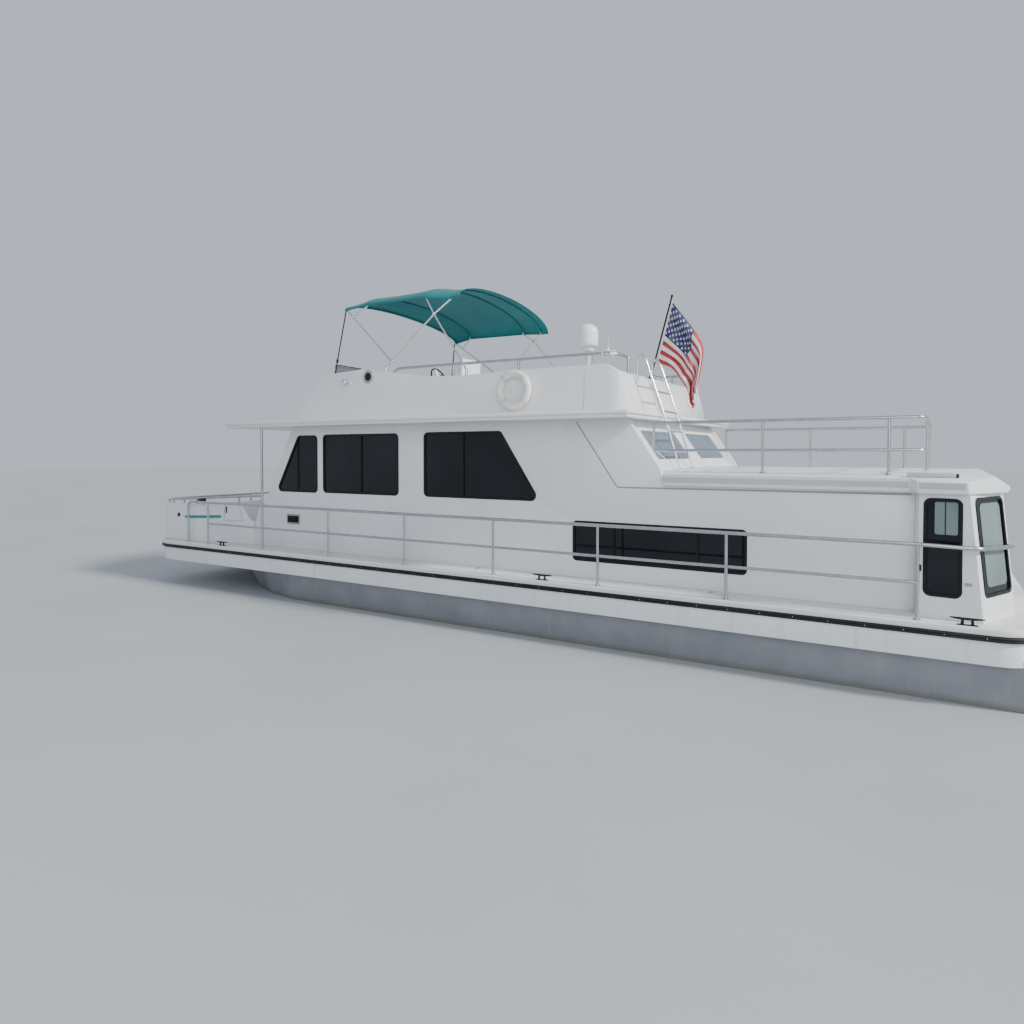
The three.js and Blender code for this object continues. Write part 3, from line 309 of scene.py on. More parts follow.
def repeatTree():
    tree = bpy.data.node_groups.new("rowAlongPath", "GeometryNodeTree")
    sockets = tree.interface
    kinds = dict(
        Path="Geometry", Spacing="Float", Sides="Int", Size="Vector", Facing="Vector", Finish="Material",
    )
    inputs = {}
    for label, kind in kinds.items():
        inputs[label] = sockets.new_socket(label, in_out="INPUT", socket_type="NodeSocket" + kind).identifier
    sockets.new_socket("Row", in_out="OUTPUT", socket_type="NodeSocketGeometry")
    types = dict(
        start="NodeGroupInput", curve="GeometryNodeMeshToCurve", even="GeometryNodeResampleCurve",
        ball="GeometryNodeMeshUVSphere", shaped="GeometryNodeTransform", along="GeometryNodeInputTangent",
        turn="FunctionNodeAxesToRotation", spots="GeometryNodeInstanceOnPoints",
        real="GeometryNodeRealizeInstances", painted="GeometryNodeSetMaterial", end="NodeGroupOutput",
    )
    made = {name: tree.nodes.new(kind) for name, kind in types.items()}
    made["even"].mode = "LENGTH"
    made["ball"].inputs["Rings"].default_value = 4
    made["ball"].inputs["Radius"].default_value = 0.5
    made["turn"].primary_axis, made["turn"].secondary_axis = "Z", "X"
    for source, out, target, into in (
        ("start", "Path", "curve", "Mesh"), ("curve", "Curve", "even", "Curve"),
        ("start", "Spacing", "even", "Length"), ("start", "Sides", "ball", "Segments"),
        ("ball", "Mesh", "shaped", "Geometry"), ("start", "Size", "shaped", "Scale"),
        ("start", "Facing", "turn", "Primary Axis"), ("along", "Tangent", "turn", "Secondary Axis"),
        ("even", "Curve", "spots", "Points"), ("shaped", "Geometry", "spots", "Instance"),
        ("turn", "Rotation", "spots", "Rotation"), ("spots", "Instances", "real", "Geometry"),
        ("real", "Geometry", "painted", "Geometry"), ("start", "Finish", "painted", "Material"),
        ("painted", "Geometry", "end", "Row"),
    ):
        tree.links.new(made[source].outputs[out], made[target].inputs[into])
    return tree, inputs


rowTree, rowInputs = repeatTree()


def makeRow(name, paths, spacing, size, facing, finish, sides=8):
    points, edges = [], []
    for path in paths:
        start = len(points)
        points += [tuple(p) for p in path]
        edges += [(start + k, start + k + 1) for k in range(len(path) - 1)]
    mesh = bpy.data.meshes.new(name + "Path")
    mesh.from_pydata(points, edges, [])
    carrier = linked(name + "Path", mesh)
    row = carrier.modifiers.new("row", "NODES")
    row.node_group = rowTree
    values = dict(Spacing=spacing, Sides=sides, Size=size, Facing=facing, Finish=finish)
    for label, value in values.items():
        row[rowInputs[label]] = value
    made = evaluated(carrier)
    bpy.data.objects.remove(carrier)
    smoothed(made)
    return place(name, made, finish)


# finishes

class Finish:  # a material whose nodes are added one by one
    def __init__(self, name, **sockets):
        self.material = bpy.data.materials.new(name)
        self.material.use_nodes = True
        self.tree = self.material.node_tree
        self.shader = self.tree.nodes["Principled BSDF"]
        self.where = self.tree.nodes.new("ShaderNodeTexCoord").outputs["Object"]
        for key, value in sockets.items():
            self.shader.inputs[key.replace("_", " ")].default_value = value

    def add(self, kind, inputs=None, out=0, **settings):
        made = self.tree.nodes.new("ShaderNode" + kind)
        for key, value in settings.items():
            setattr(made, key, value)
        for key, value in (inputs or {}).items():
            if isinstance(value, bpy.types.NodeSocket):
                self.tree.links.new(value, made.inputs[key])
            else:
                made.inputs[key].default_value = value
        return made.outputs[out]

    def math(self, operation, *values):
        return self.add("Math", dict(enumerate(values)), operation=operation)

    def times(self, *values):
        return self.math("MULTIPLY", *values)

    def scaled(self, scale):
        return self.add("Mapping", {"Vector": self.where, "Scale": scale})

    def noise(self, scale, detail=3, rough=0.5, where=None):
        return self.add(
            "TexNoise",
            {"Vector": where or self.where, "Scale": scale, "Detail": detail, "Roughness": rough},
            out="Fac",
        )

    def spread(self, value, low, high, toLow=0.0, toHigh=1.0):
        return self.add(
            "MapRange",
            {"Value": value, "From Min": low, "From Max": high, "To Min": toLow, "To Max": toHigh},
        )

    def blend(self, factor, a, b):
        made = self.tree.nodes.new("ShaderNodeMix")
        made.data_type = "RGBA"
        for index, value in ((0, factor), (6, a), (7, b)):
            if isinstance(value, bpy.types.NodeSocket):
                self.tree.links.new(value, made.inputs[index])
            elif index:
                made.inputs[index].default_value = (*value[:3], 1)
            else:
                made.inputs[index].default_value = value
        return made.outputs[2]

    def bump(self, height, strength, distance):
        normal = self.add(
            "Bump", {"Height": height, "Strength": strength, "Distance": distance}, out="Normal",
        )
        self.tree.links.new(normal, self.shader.inputs["Normal"])

    def set(self, socket, value):
        self.tree.links.new(value, self.shader.inputs[socket])

    def mottled(self, scale, low, high, colour, shade):
        self.set("Base Color", self.blend(self.spread(self.noise(scale, 4), low, high), colour, shade))

    def rough(self, scale, detail, smoothest, roughest):
        self.set("Roughness", self.spread(self.noise(scale, detail), 0.3, 0.7, smoothest, roughest))


def whiteGelcoat(name, settings):  # sun-dulled gloss with faint runs below the edges
    f = Finish(name, IOR=1.5, Coat_Weight=settings["coat"], Coat_Roughness=0.12)
    cloudy = f.noise(0.9, 4)
    runs = f.noise(4.0, 5, 0.6, f.scaled((2.2, 2.2, 0.12)))
    colour = f.blend(f.spread(cloudy, 0.3, 0.75), settings["colour"], settings["shade"])
    colour = f.blend(f.spread(runs, 0.58, 0.85, 0, settings["runs"]), colour, settings["grime"])
    f.set("Base Color", colour)
    f.rough(7, 4, *settings["gloss"])
    if settings.get("grip"):  # non-skid pattern where the face looks up
        up = f.add("SeparateXYZ", {"Vector": f.add("NewGeometry", out="Normal")}, out="Z")
        flat = f.spread(up, 0.97, 0.99)
        pattern = f.add("TexVoronoi", {"Vector": f.where, "Scale": 190.0}, feature="F1", out="Distance")
        f.bump(f.times(pattern, flat), 0.5, 0.0016)
    else:
        f.bump(f.noise(2.3, 2), 0.12, 0.012)
    return f.material


gelcoatSettings = dict(
    colour=(0.79, 0.8, 0.82), shade=(0.74, 0.755, 0.775), grime=(0.56, 0.54, 0.49), runs=0.22,
    gloss=(0.24, 0.42), coat=0.25,
)
gelcoat = whiteGelcoat("whiteGelcoat", gelcoatSettings)
deckGelcoat = whiteGelcoat(
    "nonSkidGelcoat",
    dict(
        gelcoatSettings, colour=(0.72, 0.725, 0.72), shade=(0.66, 0.665, 0.66), runs=0.3,
        gloss=(0.4, 0.6), coat=0.05, grip=True,
    ),
)
domeWhite = whiteGelcoat(
    "domeWhite", dict(gelcoatSettings, colour=(0.83, 0.835, 0.835), shade=(0.79, 0.795, 0.79), runs=0.1),
)


def hullPaint(settings):  # white topsides, a grey boot band, a scum line and dark bottom paint
    f = Finish("hullPaint", IOR=1.5, Coat_Weight=0.15, Coat_Roughness=0.2)
    height = f.add("SeparateXYZ", {"Vector": f.where}, out="Z")
    cloudy = f.noise(1.2, 4)
    runs = f.noise(5.0, 5, 0.6, f.scaled((2.4, 2.4, 0.1)))
    white = f.blend(f.spread(cloudy, 0.3, 0.7), settings["white"], settings["whiteShade"])
    grey = f.blend(f.spread(f.noise(2.5, 5), 0.3, 0.7), settings["band"], settings["bandShade"])
    colour = f.blend(f.spread(height, settings["bandTop"] - 0.002, settings["bandTop"] + 0.002), grey, white)
    colour = f.blend(f.spread(runs, 0.55, 0.8, 0, 0.35), colour, settings["grime"])
    waver = f.math("ADD", height, f.spread(f.noise(9, 3), 0, 1, -0.02, 0.02))
    colour = f.blend(f.spread(waver, 0.02, 0.07, 0.55, 0), colour, settings["scum"])
    colour = f.blend(f.spread(height, -0.01, 0.004), settings["bottom"], colour)
    f.set("Base Color", colour)
    f.set("Roughness", f.spread(height, 0.39, 0.41, 0.5, 0.28))
    f.bump(f.noise(2.5, 2), 0.12, 0.01)
    return f.material


hullFinish = hullPaint(dict(
    white=(0.78, 0.79, 0.81), whiteShade=(0.72, 0.73, 0.75), band=(0.25, 0.265, 0.29),
    bandShade=(0.2, 0.215, 0.24),
    grime=(0.42, 0.4, 0.33), scum=(0.16, 0.15, 0.09), bottom=(0.03, 0.05, 0.09), bandTop=0.4,
))


def plain(name, colour, shade, rough, size=6.0, bump=(60.0, 0.15, 0.001), **sockets):  # one mottled colour
    f = Finish(name, **sockets)
    f.mottled(size, 0.35, 0.7, colour, shade)
    f.rough(size * 3, 3, *rough)
    f.bump(f.noise(bump[0], 3), bump[1], bump[2])
    return f.material


dull = dict(Specular_IOR_Level=0.3)
blackRubber = plain("blackRubber", (0.007, 0.007, 0.008), (0.018, 0.018, 0.019), (0.42, 0.62), 3.0, **dull)
frameBlack = plain("frameBlack", (0.004, 0.005, 0.006), (0.01, 0.011, 0.012), (0.28, 0.45), 4.0, **dull)
blackPlastic = plain("blackPlastic", (0.006, 0.006, 0.007), (0.014, 0.014, 0.015), (0.3, 0.45), 20.0, **dull)
# grey trim, also used for the painted shade in the cabin side's groove
greyTrimAndGrooveShade = plain("greyTrimAndGrooveShade", (0.33, 0.345, 0.36), (0.28, 0.295, 0.31), (0.35, 0.5), 3.0)
threadTeal = plain("threadTeal", (0.03, 0.22, 0.22), (0.05, 0.28, 0.27), (0.6, 0.75), 40.0)
webbing = plain(
    "darkWebbing", (0.018, 0.03, 0.05), (0.03, 0.045, 0.07), (0.7, 0.85), 30.0, (700.0, 0.4, 0.0008),
)
tealTape = plain("tealTape", (0.03, 0.26, 0.27), (0.035, 0.22, 0.23), (0.3, 0.42), 8.0)
stainless = plain(
    "stainless", (0.74, 0.75, 0.76), (0.66, 0.67, 0.68), (0.12, 0.27), 9.0, (120.0, 0.06, 0.0004),
    Metallic=1.0,
)
satinRail = plain(
    "satinRail", (0.5, 0.515, 0.53), (0.42, 0.435, 0.45), (0.24, 0.36), 9.0, (120.0, 0.06, 0.0004),
    Metallic=1.0,
)
bronze = plain(
    "bronzeCast", (0.52, 0.36, 0.16), (0.36, 0.27, 0.14), (0.35, 0.55), 12.0, (160.0, 0.25, 0.001),
    Metallic=1.0,
)
engineEnamel = plain("engineEnamel", (0.1, 0.15, 0.18), (0.07, 0.11, 0.13), (0.35, 0.5), 7.0)
ringWhite = plain("ringWhite", (0.8, 0.79, 0.74), (0.7, 0.69, 0.63), (0.4, 0.55), 9.0, (250.0, 0.2, 0.0008))
ringBand = plain("ringBand", (0.62, 0.62, 0.58), (0.54, 0.54, 0.5), (0.6, 0.75), 20.0, (500.0, 0.4, 0.0008))
lampGlass = plain("lampGlass", (0.55, 0.57, 0.58), (0.45, 0.47, 0.48), (0.08, 0.14), 9.0, Coat_Weight=0.6)
greenLens = plain("greenLens", (0.01, 0.22, 0.08), (0.01, 0.17, 0.06), (0.1, 0.2), 9.0, Coat_Weight=0.6)
frameWhite = plain("frameWhite", (0.8, 0.79, 0.74), (0.72, 0.71, 0.66), (0.35, 0.5), 5.0)
# the plank's grey, also used for the painted shade in the recessed band under the aft roof's lip
plankGreyAndBandShade = plain("plankGreyAndBandShade", (0.52, 0.54, 0.56), (0.46, 0.48, 0.5), (0.4, 0.55), 2.0)
redLens = plain("redLens", (0.35, 0.01, 0.01), (0.28, 0.01, 0.01), (0.1, 0.2), 9.0, Coat_Weight=0.6)


def tinted(name, colour, shade, alpha, rough, shine=0.5):
    f = Finish(name, Alpha=alpha, IOR=1.5, Specular_IOR_Level=shine)
    f.set("Base Color", f.blend(f.spread(f.noise(1.5, 3), 0.3, 0.7), colour, shade))
    f.rough(5, 4, rough, rough + 0.05)
    f.bump(f.noise(1.1, 1), 0.05, 0.01)
    f.material.surface_render_method = "BLENDED"
    return f.material


darkGlass = tinted("tintedGlass", (0.004, 0.006, 0.009), (0.01, 0.014, 0.018), 0.93, 0.02, 0.35)
smokedGlass = tinted("smokedAcrylic", (0.22, 0.25, 0.25), (0.3, 0.32, 0.32), 0.42, 0.05)
paleGlass = tinted("paleGlass", (0.21, 0.27, 0.27), (0.11, 0.15, 0.15), 0.9, 0.03)
blueGlass = tinted("blueGlass", (0.17, 0.23, 0.3), (0.12, 0.16, 0.21), 0.82, 0.02)


def woodVarnish():
    f = Finish("varnishedWood", Coat_Weight=0.4, Coat_Roughness=0.1)
    grain = f.add(
        "TexWave", {"Vector": f.scaled((1, 6, 6)), "Scale": 3.0, "Distortion": 6.0, "Detail": 3.0},
        out="Fac",
    )
    f.set("Base Color", f.blend(grain, (0.33, 0.17, 0.07), (0.2, 0.09, 0.035)))
    f.rough(8, 3, 0.25, 0.4)
    f.bump(grain, 0.08, 0.001)
    return f.material


wood = woodVarnish()


def leatherVinyl():
    f = Finish("marineVinyl", Sheen_Weight=0.05)
    f.mottled(5, 0.3, 0.7, (0.78, 0.76, 0.69), (0.68, 0.655, 0.58))
    f.rough(30, 3, 0.4, 0.55)
    cells = f.add(
        "TexVoronoi", {"Vector": f.where, "Scale": 420.0}, feature="DISTANCE_TO_EDGE", out="Distance",
    )
    f.bump(f.math("ADD", cells, f.noise(25)), 0.25, 0.001)
    return f.material


vinyl = leatherVinyl()


def canvasWeave(settings):  # woven acrylic, faded on top, dark along its seams
    f = Finish("tealCanvas", Sheen_Weight=0.06, Sheen_Roughness=0.5)
    x, y = (f.add("SeparateXYZ", {"Vector": f.where}, out=axis) for axis in "XY")
    warp = f.math("SINE", f.times(x, settings["threads"]))
    weft = f.math("SINE", f.times(y, settings["threads"]))
    faded = f.spread(f.noise(1.6, 5), 0.35, 0.7)
    colour = f.blend(faded, settings["colour"], settings["faded"])
    colour = f.blend(f.spread(f.times(warp, weft), -1, 1, 0, 0.35), colour, settings["thread"])
    colour = f.blend(
        f.spread(f.noise(3.5, 6, 0.6, f.scaled((1, 0.35, 1))), 0.6, 0.85, 0, 0.5), colour,
        settings["stain"],
    )
    f.set("Base Color", colour)
    f.rough(12, 3, 0.8, 0.95)
    f.bump(f.times(warp, weft), 0.3, 0.0008)
    return f.material


canvas = canvasWeave(dict(
    colour=(0.004, 0.145, 0.16), faded=(0.007, 0.195, 0.205), thread=(0.002, 0.08, 0.09),
    stain=(0.02, 0.155, 0.16), threads=2600.0,
))


def flagPrint(settings):  # thirteen stripes and a canton of fifty stars, by the cloth's own map
    f = Finish("flagPrint", Sheen_Weight=0.15)
    uv = f.add("UVMap", uv_map="cloth", out="UV")
    u, v = (f.add("SeparateXYZ", {"Vector": uv}, out=axis) for axis in "XY")  # along the fly, from the top
    odd = f.math("LESS_THAN", f.math("MODULO", f.times(v, 6.5), 1.0), 0.5)
    colour = f.blend(odd, settings["white"], settings["red"])
    p, q = f.times(u, 12 / settings["cantonWide"]), f.times(v, 10 * 13 / 7)
    i, j = f.math("ROUND", p), f.math("ROUND", q)
    x = f.times(f.math("SUBTRACT", p, i), 0.0633)
    y = f.times(f.math("SUBTRACT", q, j), 0.0538)
    reach = f.math("SQRT", f.math("ADD", f.times(x, x), f.times(y, y)))
    heading = f.math("ADD", f.math("ARCTAN2", x, f.times(y, -1.0)), 2 * math.pi)
    turn = f.math("SUBTRACT", 2 * math.pi / 5, f.math("PINGPONG", heading, math.pi / 5))
    star = f.math("LESS_THAN", f.times(reach, f.math("COSINE", turn)), 0.309 * settings["starSize"])
    even = f.math("LESS_THAN", f.math("PINGPONG", f.math("ADD", i, j), 1.0), 0.5)
    inside = f.times(f.math("COMPARE", i, 6.0, 5.2), f.math("COMPARE", j, 5.0, 4.2))
    star = f.times(f.times(star, even), inside)
    blue = f.times(f.math("LESS_THAN", u, settings["cantonWide"]), f.math("LESS_THAN", v, 7 / 13))
    colour = f.blend(blue, colour, f.blend(star, settings["blue"], settings["white"]))
    hoist = f.math("LESS_THAN", u, 0.022)
    colour = f.blend(hoist, colour, settings["white"])
    f.set("Base Color", f.blend(f.spread(f.noise(9, 4), 0.4, 0.8, 0, 0.25), colour, settings["grime"]))
    f.rough(20, 3, 0.6, 0.8)
    weave = f.times(f.math("SINE", f.times(u, 5200.0)), f.math("SINE", f.times(v, 3200.0)))
    f.bump(weave, 0.15, 0.0004)
    return f.material


flagFinish = flagPrint(
    dict(
        red=(0.4, 0.008, 0.018), white=(0.82, 0.78, 0.78), blue=(0.006, 0.016, 0.11),
        grime=(0.5, 0.42, 0.4), cantonWide=0.4, starSize=0.031,
    )
)

slotFinishes = dict(  # the first finish of a slot is the one that its CAD nodes wear
    gelcoat=[gelcoat, deckGelcoat, domeWhite, greyTrimAndGrooveShade, frameWhite, plankGreyAndBandShade], bottom=[hullFinish],
    rubber=[blackRubber, frameBlack, ringBand], black_plastic=[blackPlastic], steel=[stainless, satinRail],
    glass=[darkGlass, paleGlass, blueGlass, lampGlass, greenLens, redLens], smoked_glass=[smokedGlass],
    canvas=[canvas, webbing, threadTeal, tealTape], flag_cloth=[flagFinish], ring_foam=[ringWhite],
    vinyl=[vinyl], bronze=[bronze], engine=[engineEnamel], wood=[wood],
)
for name, node in nodes.items():
    for holder in node.material_slots:
        holder.material = slotFinishes[slotOf[name]][0]
for name in ("deck", "swim_platform"):
    nodes[name].material_slots[0].material = deckGelcoat
nodes["bulkhead_windows"].material_slots[0].material = blueGlass
print("finishes made:", len(bpy.data.materials))


# camera, light and floor

view = dict(place=(-5.37, 9.235, 2.194), yaw=31.44, dip=1.24, focal=706.0, shiftY=-0.043)


def makeCamera(settings):
    yaw, dip = math.radians(settings["yaw"]), math.radians(settings["dip"])
    ahead = Vector((math.sin(yaw), -math.cos(yaw), 0))
    right = Vector((-math.cos(yaw), -math.sin(yaw), 0))
    look = ahead * math.cos(dip) - Vector((0, 0, math.sin(dip)))
    up = right.cross(look)
    camera = bpy.data.cameras.new("camera")
    camera.sensor_width = 36
    camera.lens = settings["focal"] / 1024 * 36
    camera.shift_y = settings["shiftY"]
    camera.clip_end = 300
    holder = linked("camera", camera)
    holder.matrix_world = Matrix.Translation(settings["place"]) @ Matrix(
        (right, up, -look)
    ).transposed().to_4x4()
    bpy.context.scene.camera = holder


makeCamera(view)

lighting = dict(
    sunFrom=(-0.84, -0.03, 0.54), sunPower=4.6, sunAngle=7, world=(0.8, 0.88, 1.0), worldPower=0.72,
    fillPower=750, fillAt=(-9, 13, 7),
)


def makeLight(settings):
    sun = bpy.data.lights.new("sun", "SUN")
    sun.energy = settings["sunPower"]
    sun.angle = math.radians(settings["sunAngle"])
    sun.color = (1.0, 0.97, 0.92)
    lamp = linked("sun", sun)
    lamp.rotation_mode = "QUATERNION"
    lamp.rotation_quaternion = Vector(settings["sunFrom"]).to_track_quat("Z", "Y")
    fill = bpy.data.lights.new("fill", "AREA")
    fill.energy = settings["fillPower"]
    fill.size = 9
    soft = linked("fill", fill)
    soft.location = settings["fillAt"]
    soft.rotation_mode = "QUATERNION"
    soft.rotation_quaternion = (Vector(settings["fillAt"]) - Vector((0, 1.5, 1.2))).to_track_quat("Z", "Y")
    world = bpy.data.worlds.new("sky")
    world.use_nodes = True
    world.node_tree.nodes["Background"].inputs["Color"].default_value = (*settings["world"], 1)
    world.node_tree.nodes["Background"].inputs["Strength"].default_value = settings["worldPower"]
    bpy.context.scene.world = world


makeLight(lighting)


def makeFloor():
    mesh = bpy.data.meshes.new("floor")
    mesh.from_pydata([(-90, -90, 0), (90, -90, 0), (90, 90, 0), (-90, 90, 0)], [], [(0, 1, 2, 3)])
    floor = linked("floor", mesh)
    mesh.materials.append(plain("paleFloor", (0.4, 0.42, 0.44), (0.37, 0.39, 0.41), (0.5, 0.65), 0.4))


makeFloor()
print("camera, light and floor placed")


# mouldings: the same forms as the solids, with eased edges

easedEdge = dict(
    bow_bulwark=0.012, cabin_side_port=0.006, cabin_side_starboard=0.006, stern_quarter_port=0.006,
    stern_quarter_starboard=0.006, stern_bulkhead=0.006, cabin_front=0.006, saloon_aft_bulkhead=0.006,
    saloon_roof=0.012, aft_roof=0.018, flybridge=0.03, helm_console=0.02, helm_seat=0.008,
    locker_hatch=0.008,
)
for node, edge in easedEdge.items():
    softened(node, edge, gelcoat)
for node, edge in (("deck", 0.012), ("swim_platform", 0.012)):
    softened(node, edge, deckGelcoat)
softened("hull", 0.006, hullFinish, sharp=30)
for side in ("port", "starboard"):
    for node in ("propeller_", "rudder_", "shaft_strut_"):
        softened(node + side, 0.003, bronze, steps=2)
print("mouldings eased:", len(easedEdge) + 2)

deckTop, roofTop = 0.7153, 2.5847
cabinY = 1.7  # the cabin side's outer face, to port
rakeFoot = 0.715  # the stern's faces lean forward from here up
deckEdge = dict(
    halfBeam=2.135, bowX=6.45, sternX=-6.13, bowRadius=0.6, sternRadius=0.35, bowCrown=0.09,
    sternCrown=0.02,
)


def deckOutline(inset, bowSteps=24, sternSteps=12):  # port side from the bow, then starboard
    d = deckEdge
    bowAt = (d["bowX"] - d["bowCrown"] - d["bowRadius"], d["halfBeam"] - d["bowRadius"])
    sternAt = (d["sternX"] + d["sternCrown"] + d["sternRadius"], d["halfBeam"] - d["sternRadius"])
    bow = arcPoints(*bowAt, d["bowRadius"] - inset, 8, 90, bowSteps)
    stern = arcPoints(*sternAt, d["sternRadius"] - inset, 90, 180, sternSteps)
    port = [(d["bowX"] - inset, 0.0)] + bow + stern
    return port + [(x, -y) for x, y in reversed(port[1:])]


rubRail = dict(low=0.605, high=0.6547, deep=0.03)


def makeRubRail(settings):
    low, high, deep = settings["low"], settings["high"], settings["deep"]
    path = [(x, y, (low + high) / 2) for x, y in deckOutline(deep)]
    half = (high - low) / 2
    shape = ((0, 1), (0.55, 1), (0.82, 0.86), (0.97, 0.5), (0.9, 0.34))
    profile, strip = (
        [(deep * a, half * b) for a, b in part]
        for part in (shape, ((0.84, 0.26), (0.93, 0.16)))
    )
    rubber = moulding(path, (0, 0, 1), evenProfile(profile))
    makePiece("rubRailRubber", [rubber], blackRubber, replaces=["rub_rail"])
    makePiece("rubRailStrip", [moulding(path, (0, 0, 1), evenProfile(strip))], frameBlack)


makeRubRail(rubRail)


# window frames

sideOpenings = [
    dict(radius=0.06, corners=[(3.56, 1.6), (3.08, 2.445), (2.675, 2.445), (2.675, 1.6)], bars=[]),
    dict(radius=0.06, corners=[(2.54, 1.606), (2.54, 2.452), (1.092, 2.452), (1.092, 1.606)], bars=[1.785]),
    dict(radius=0.06, corners=[(0.628, 1.61), (0.628, 2.458), (-0.59, 2.458), (-1.15, 1.61)], bars=[-0.012]),
    dict(
        radius=0.04, corners=[(-1.622, 0.926), (-1.622, 1.378), (-3.622, 1.378), (-3.622, 0.926)],
        bars=[-2.136, -3.112],
    ),
]
windowFrame = dict(inside=0.018, outside=0.012, proud=0.007, deep=0.022, bar=0.026)


def frameProfile(settings):
    i, o, p, d = settings["inside"], settings["outside"], settings["proud"], settings["deep"]
    return [
        (-i, -d), (-i, p * 0.5), (-i + 0.004, p), (o - 0.004, p), (o, p * 0.5), (o, -0.001),
        (0.0, -0.001), (0.0, -d),
    ]


def windowLoop(points, normal):
    path = [Vector(p) for p in points]
    area = sum((path[i - 1].cross(path[i]) for i in range(len(path))), Vector())
    if area.dot(Vector(normal)) < 0:
        path.reverse()
    return moulding(path, normal, frameProfile(windowFrame))


def makeSideFrames():
    parts = []
    for opening in sideOpenings:
        outline = rounded(opening["corners"], opening["radius"], 8)
        parts.append(windowLoop([(x, cabinY, z) for x, z in outline], (0, 1, 0)))
        low, high = (f(z for _, z in opening["corners"]) for f in (min, max))
        for x in opening["bars"]:
            half = windowFrame["bar"] / 2
            parts.append(roundedBlock((x - half, 1.68, low + 0.004), (x + half, 1.704, high - 0.004), 0.004))
    makePair("sideFrames", parts, frameBlack)


makeSideFrames()

quarter = dict(
    flare=(-5.186, 1.88), corner=(-5.681, 1.957), fold=(-5.95, 1.35), rake=0.1, rakeFrom=-5.52, rakeRun=0.13,
)


def raked(x, y, z):  # everything aft of the tall window leans forward as it rises
    share = min(max((quarter["rakeFrom"] - x) / quarter["rakeRun"], 0), 1)
    return Vector((x + share * quarter["rake"] * (z - rakeFoot), y, z))


def facetPoint(a, b, share, z, depth=0.0):  # on the face between two of the quarter's corners
    (x0, y0), (x1, y1) = quarter[a], quarter[b]
    length = math.hypot(x1 - x0, y1 - y0)
    x = x0 + (x1 - x0) * share - (y1 - y0) / length * depth
    y = y0 + (y1 - y0) * share + (x1 - x0) / length * depth
    return raked(x, y, z)


def facetOutline(a, b, shares, heights, radius, steps):  # as shares along the face, and heights
    length = (Vector(quarter[b]) - Vector(quarter[a])).length
    low, high = shares[0] * length, shares[1] * length
    return [(along / length, z) for along, z in rounded(rect(low, high, *heights), radius, steps)]


def facetLoop(a, b, shares, heights, radius):
    points = [facetPoint(a, b, *spot) for spot in facetOutline(a, b, shares, heights, radius, 8)]
    third = len(points) // 3
    normal = (points[third] - points[0]).cross(points[2 * third] - points[0]).normalized()
    return windowLoop(points, normal if normal.y > 0 or normal.x < -0.5 else -normal)


def tallShare(x):  # how far along the tall window's face
    return between(x, (quarter["flare"][0], 0), (quarter["corner"][0], 1))


quarterFrames = dict(
    tallX=(-5.232, -5.51), tallZ=(0.92, 1.778), cornerShares=(0.13, 0.93), cornerZ=(0.935, 1.788),
    radius=0.05,
)


def makeQuarterFrames(settings):
    shares, radius = [tallShare(x) for x in settings["tallX"]], settings["radius"]
    tall = facetLoop("flare", "corner", shares, settings["tallZ"], radius)
    corner = facetLoop("corner", "fold", settings["cornerShares"], settings["cornerZ"], radius)
    makePair("quarterFrames", [tall, corner], frameBlack)


makeQuarterFrames(quarterFrames)

front = dict(
    lowX=4.05, lowZ=deckTop, highX=3.155, highZ=roofTop, panes=[(0.23, 1.5), (-1.5, -0.79)],
    paneZ=(1.64, 2.44),
)
aftWall = dict(
    lowX=-2.675, lowZ=1.96, highX=-2.25, highZ=roofTop, panes=[(0.2, 1.45), (-1.45, -0.2)],
    paneZ=(2.1, 2.47),
)


def wallX(wall, z, depth=0.0):
    return between(z, (wall["lowZ"], wall["lowX"]), (wall["highZ"], wall["highX"])) + depth


def makeEndFrames(name, wall, facing, finish):
    parts = []
    normal = Vector((wall["highZ"] - wall["lowZ"], 0, wall["lowX"] - wall["highX"])).normalized() * facing
    for y0, y1 in wall["panes"]:
        outline = rounded(rect(y0, y1, *wall["paneZ"]), 0.06, 8)
        parts.append(windowLoop([(wallX(wall, z), y, z) for y, z in outline], normal))
    makePiece(name, parts, finish)


makeEndFrames("frontFrames", front, 1, frameBlack)
makeEndFrames("aftWallFrames", aftWall, -1, frameWhite)
print("window frames made")


# rails, ladder and the folding top's frame, as bent tube

railSettings = dict(rail=0.019, post=0.016, grab=0.019, bow=0.012, ladder=0.014, bend=0.09, sides=14)


def bent(points, radius, bend=None):
    return tube(filleted(points, bend or railSettings["bend"]), radius, railSettings["sides"])


def post(*ends):
    return tube(ends, railSettings["post"], 14)


def postFoot(x, y, z):
    flange = [(0, 0), (0.03, 0), (0.033, 0.002), (0.032, 0.006), (0.019, 0.01), (0.017, 0.018), (0, 0.018)]
    return lathe(flange, (x, y, z), sides=24)


sideRail = dict(
    y=2.05, high=1.385, mid=1.045, tallX=3.489, tallRadius=0.02,
    posts=[5.32, 4.805, 3.489, 2.088, 0.687, -0.707, -2.095, -3.508, -5.182],
)


def makeSideRails(settings):
    y, high, posts, tallX = settings["y"], settings["high"], settings["posts"], settings["tallX"]
    tail = [facetPoint("corner", "fold", *at) for at in ((0.9, 1.345, -0.062), (0.969, 1.345, -0.0004))]
    topRail = [(posts[0], y, deckTop), (posts[0], y, high), (posts[-1], y, high), (-5.64, y, 1.372)] + tail
    parts = [
        bent(topRail, railSettings["rail"]),
        post((posts[1], y, settings["mid"]), (posts[-1], y, settings["mid"])),
        tube([(tallX, y, deckTop), (tallX, y, roofTop)], settings["tallRadius"], 16),
    ]
    parts += [post((x, y, deckTop), (x, y, high)) for x in posts[1:]]
    parts += [postFoot(x, y, deckTop) for x in posts]
    makePair("sideRail", parts, satinRail, "side_rail")


makeSideRails(sideRail)

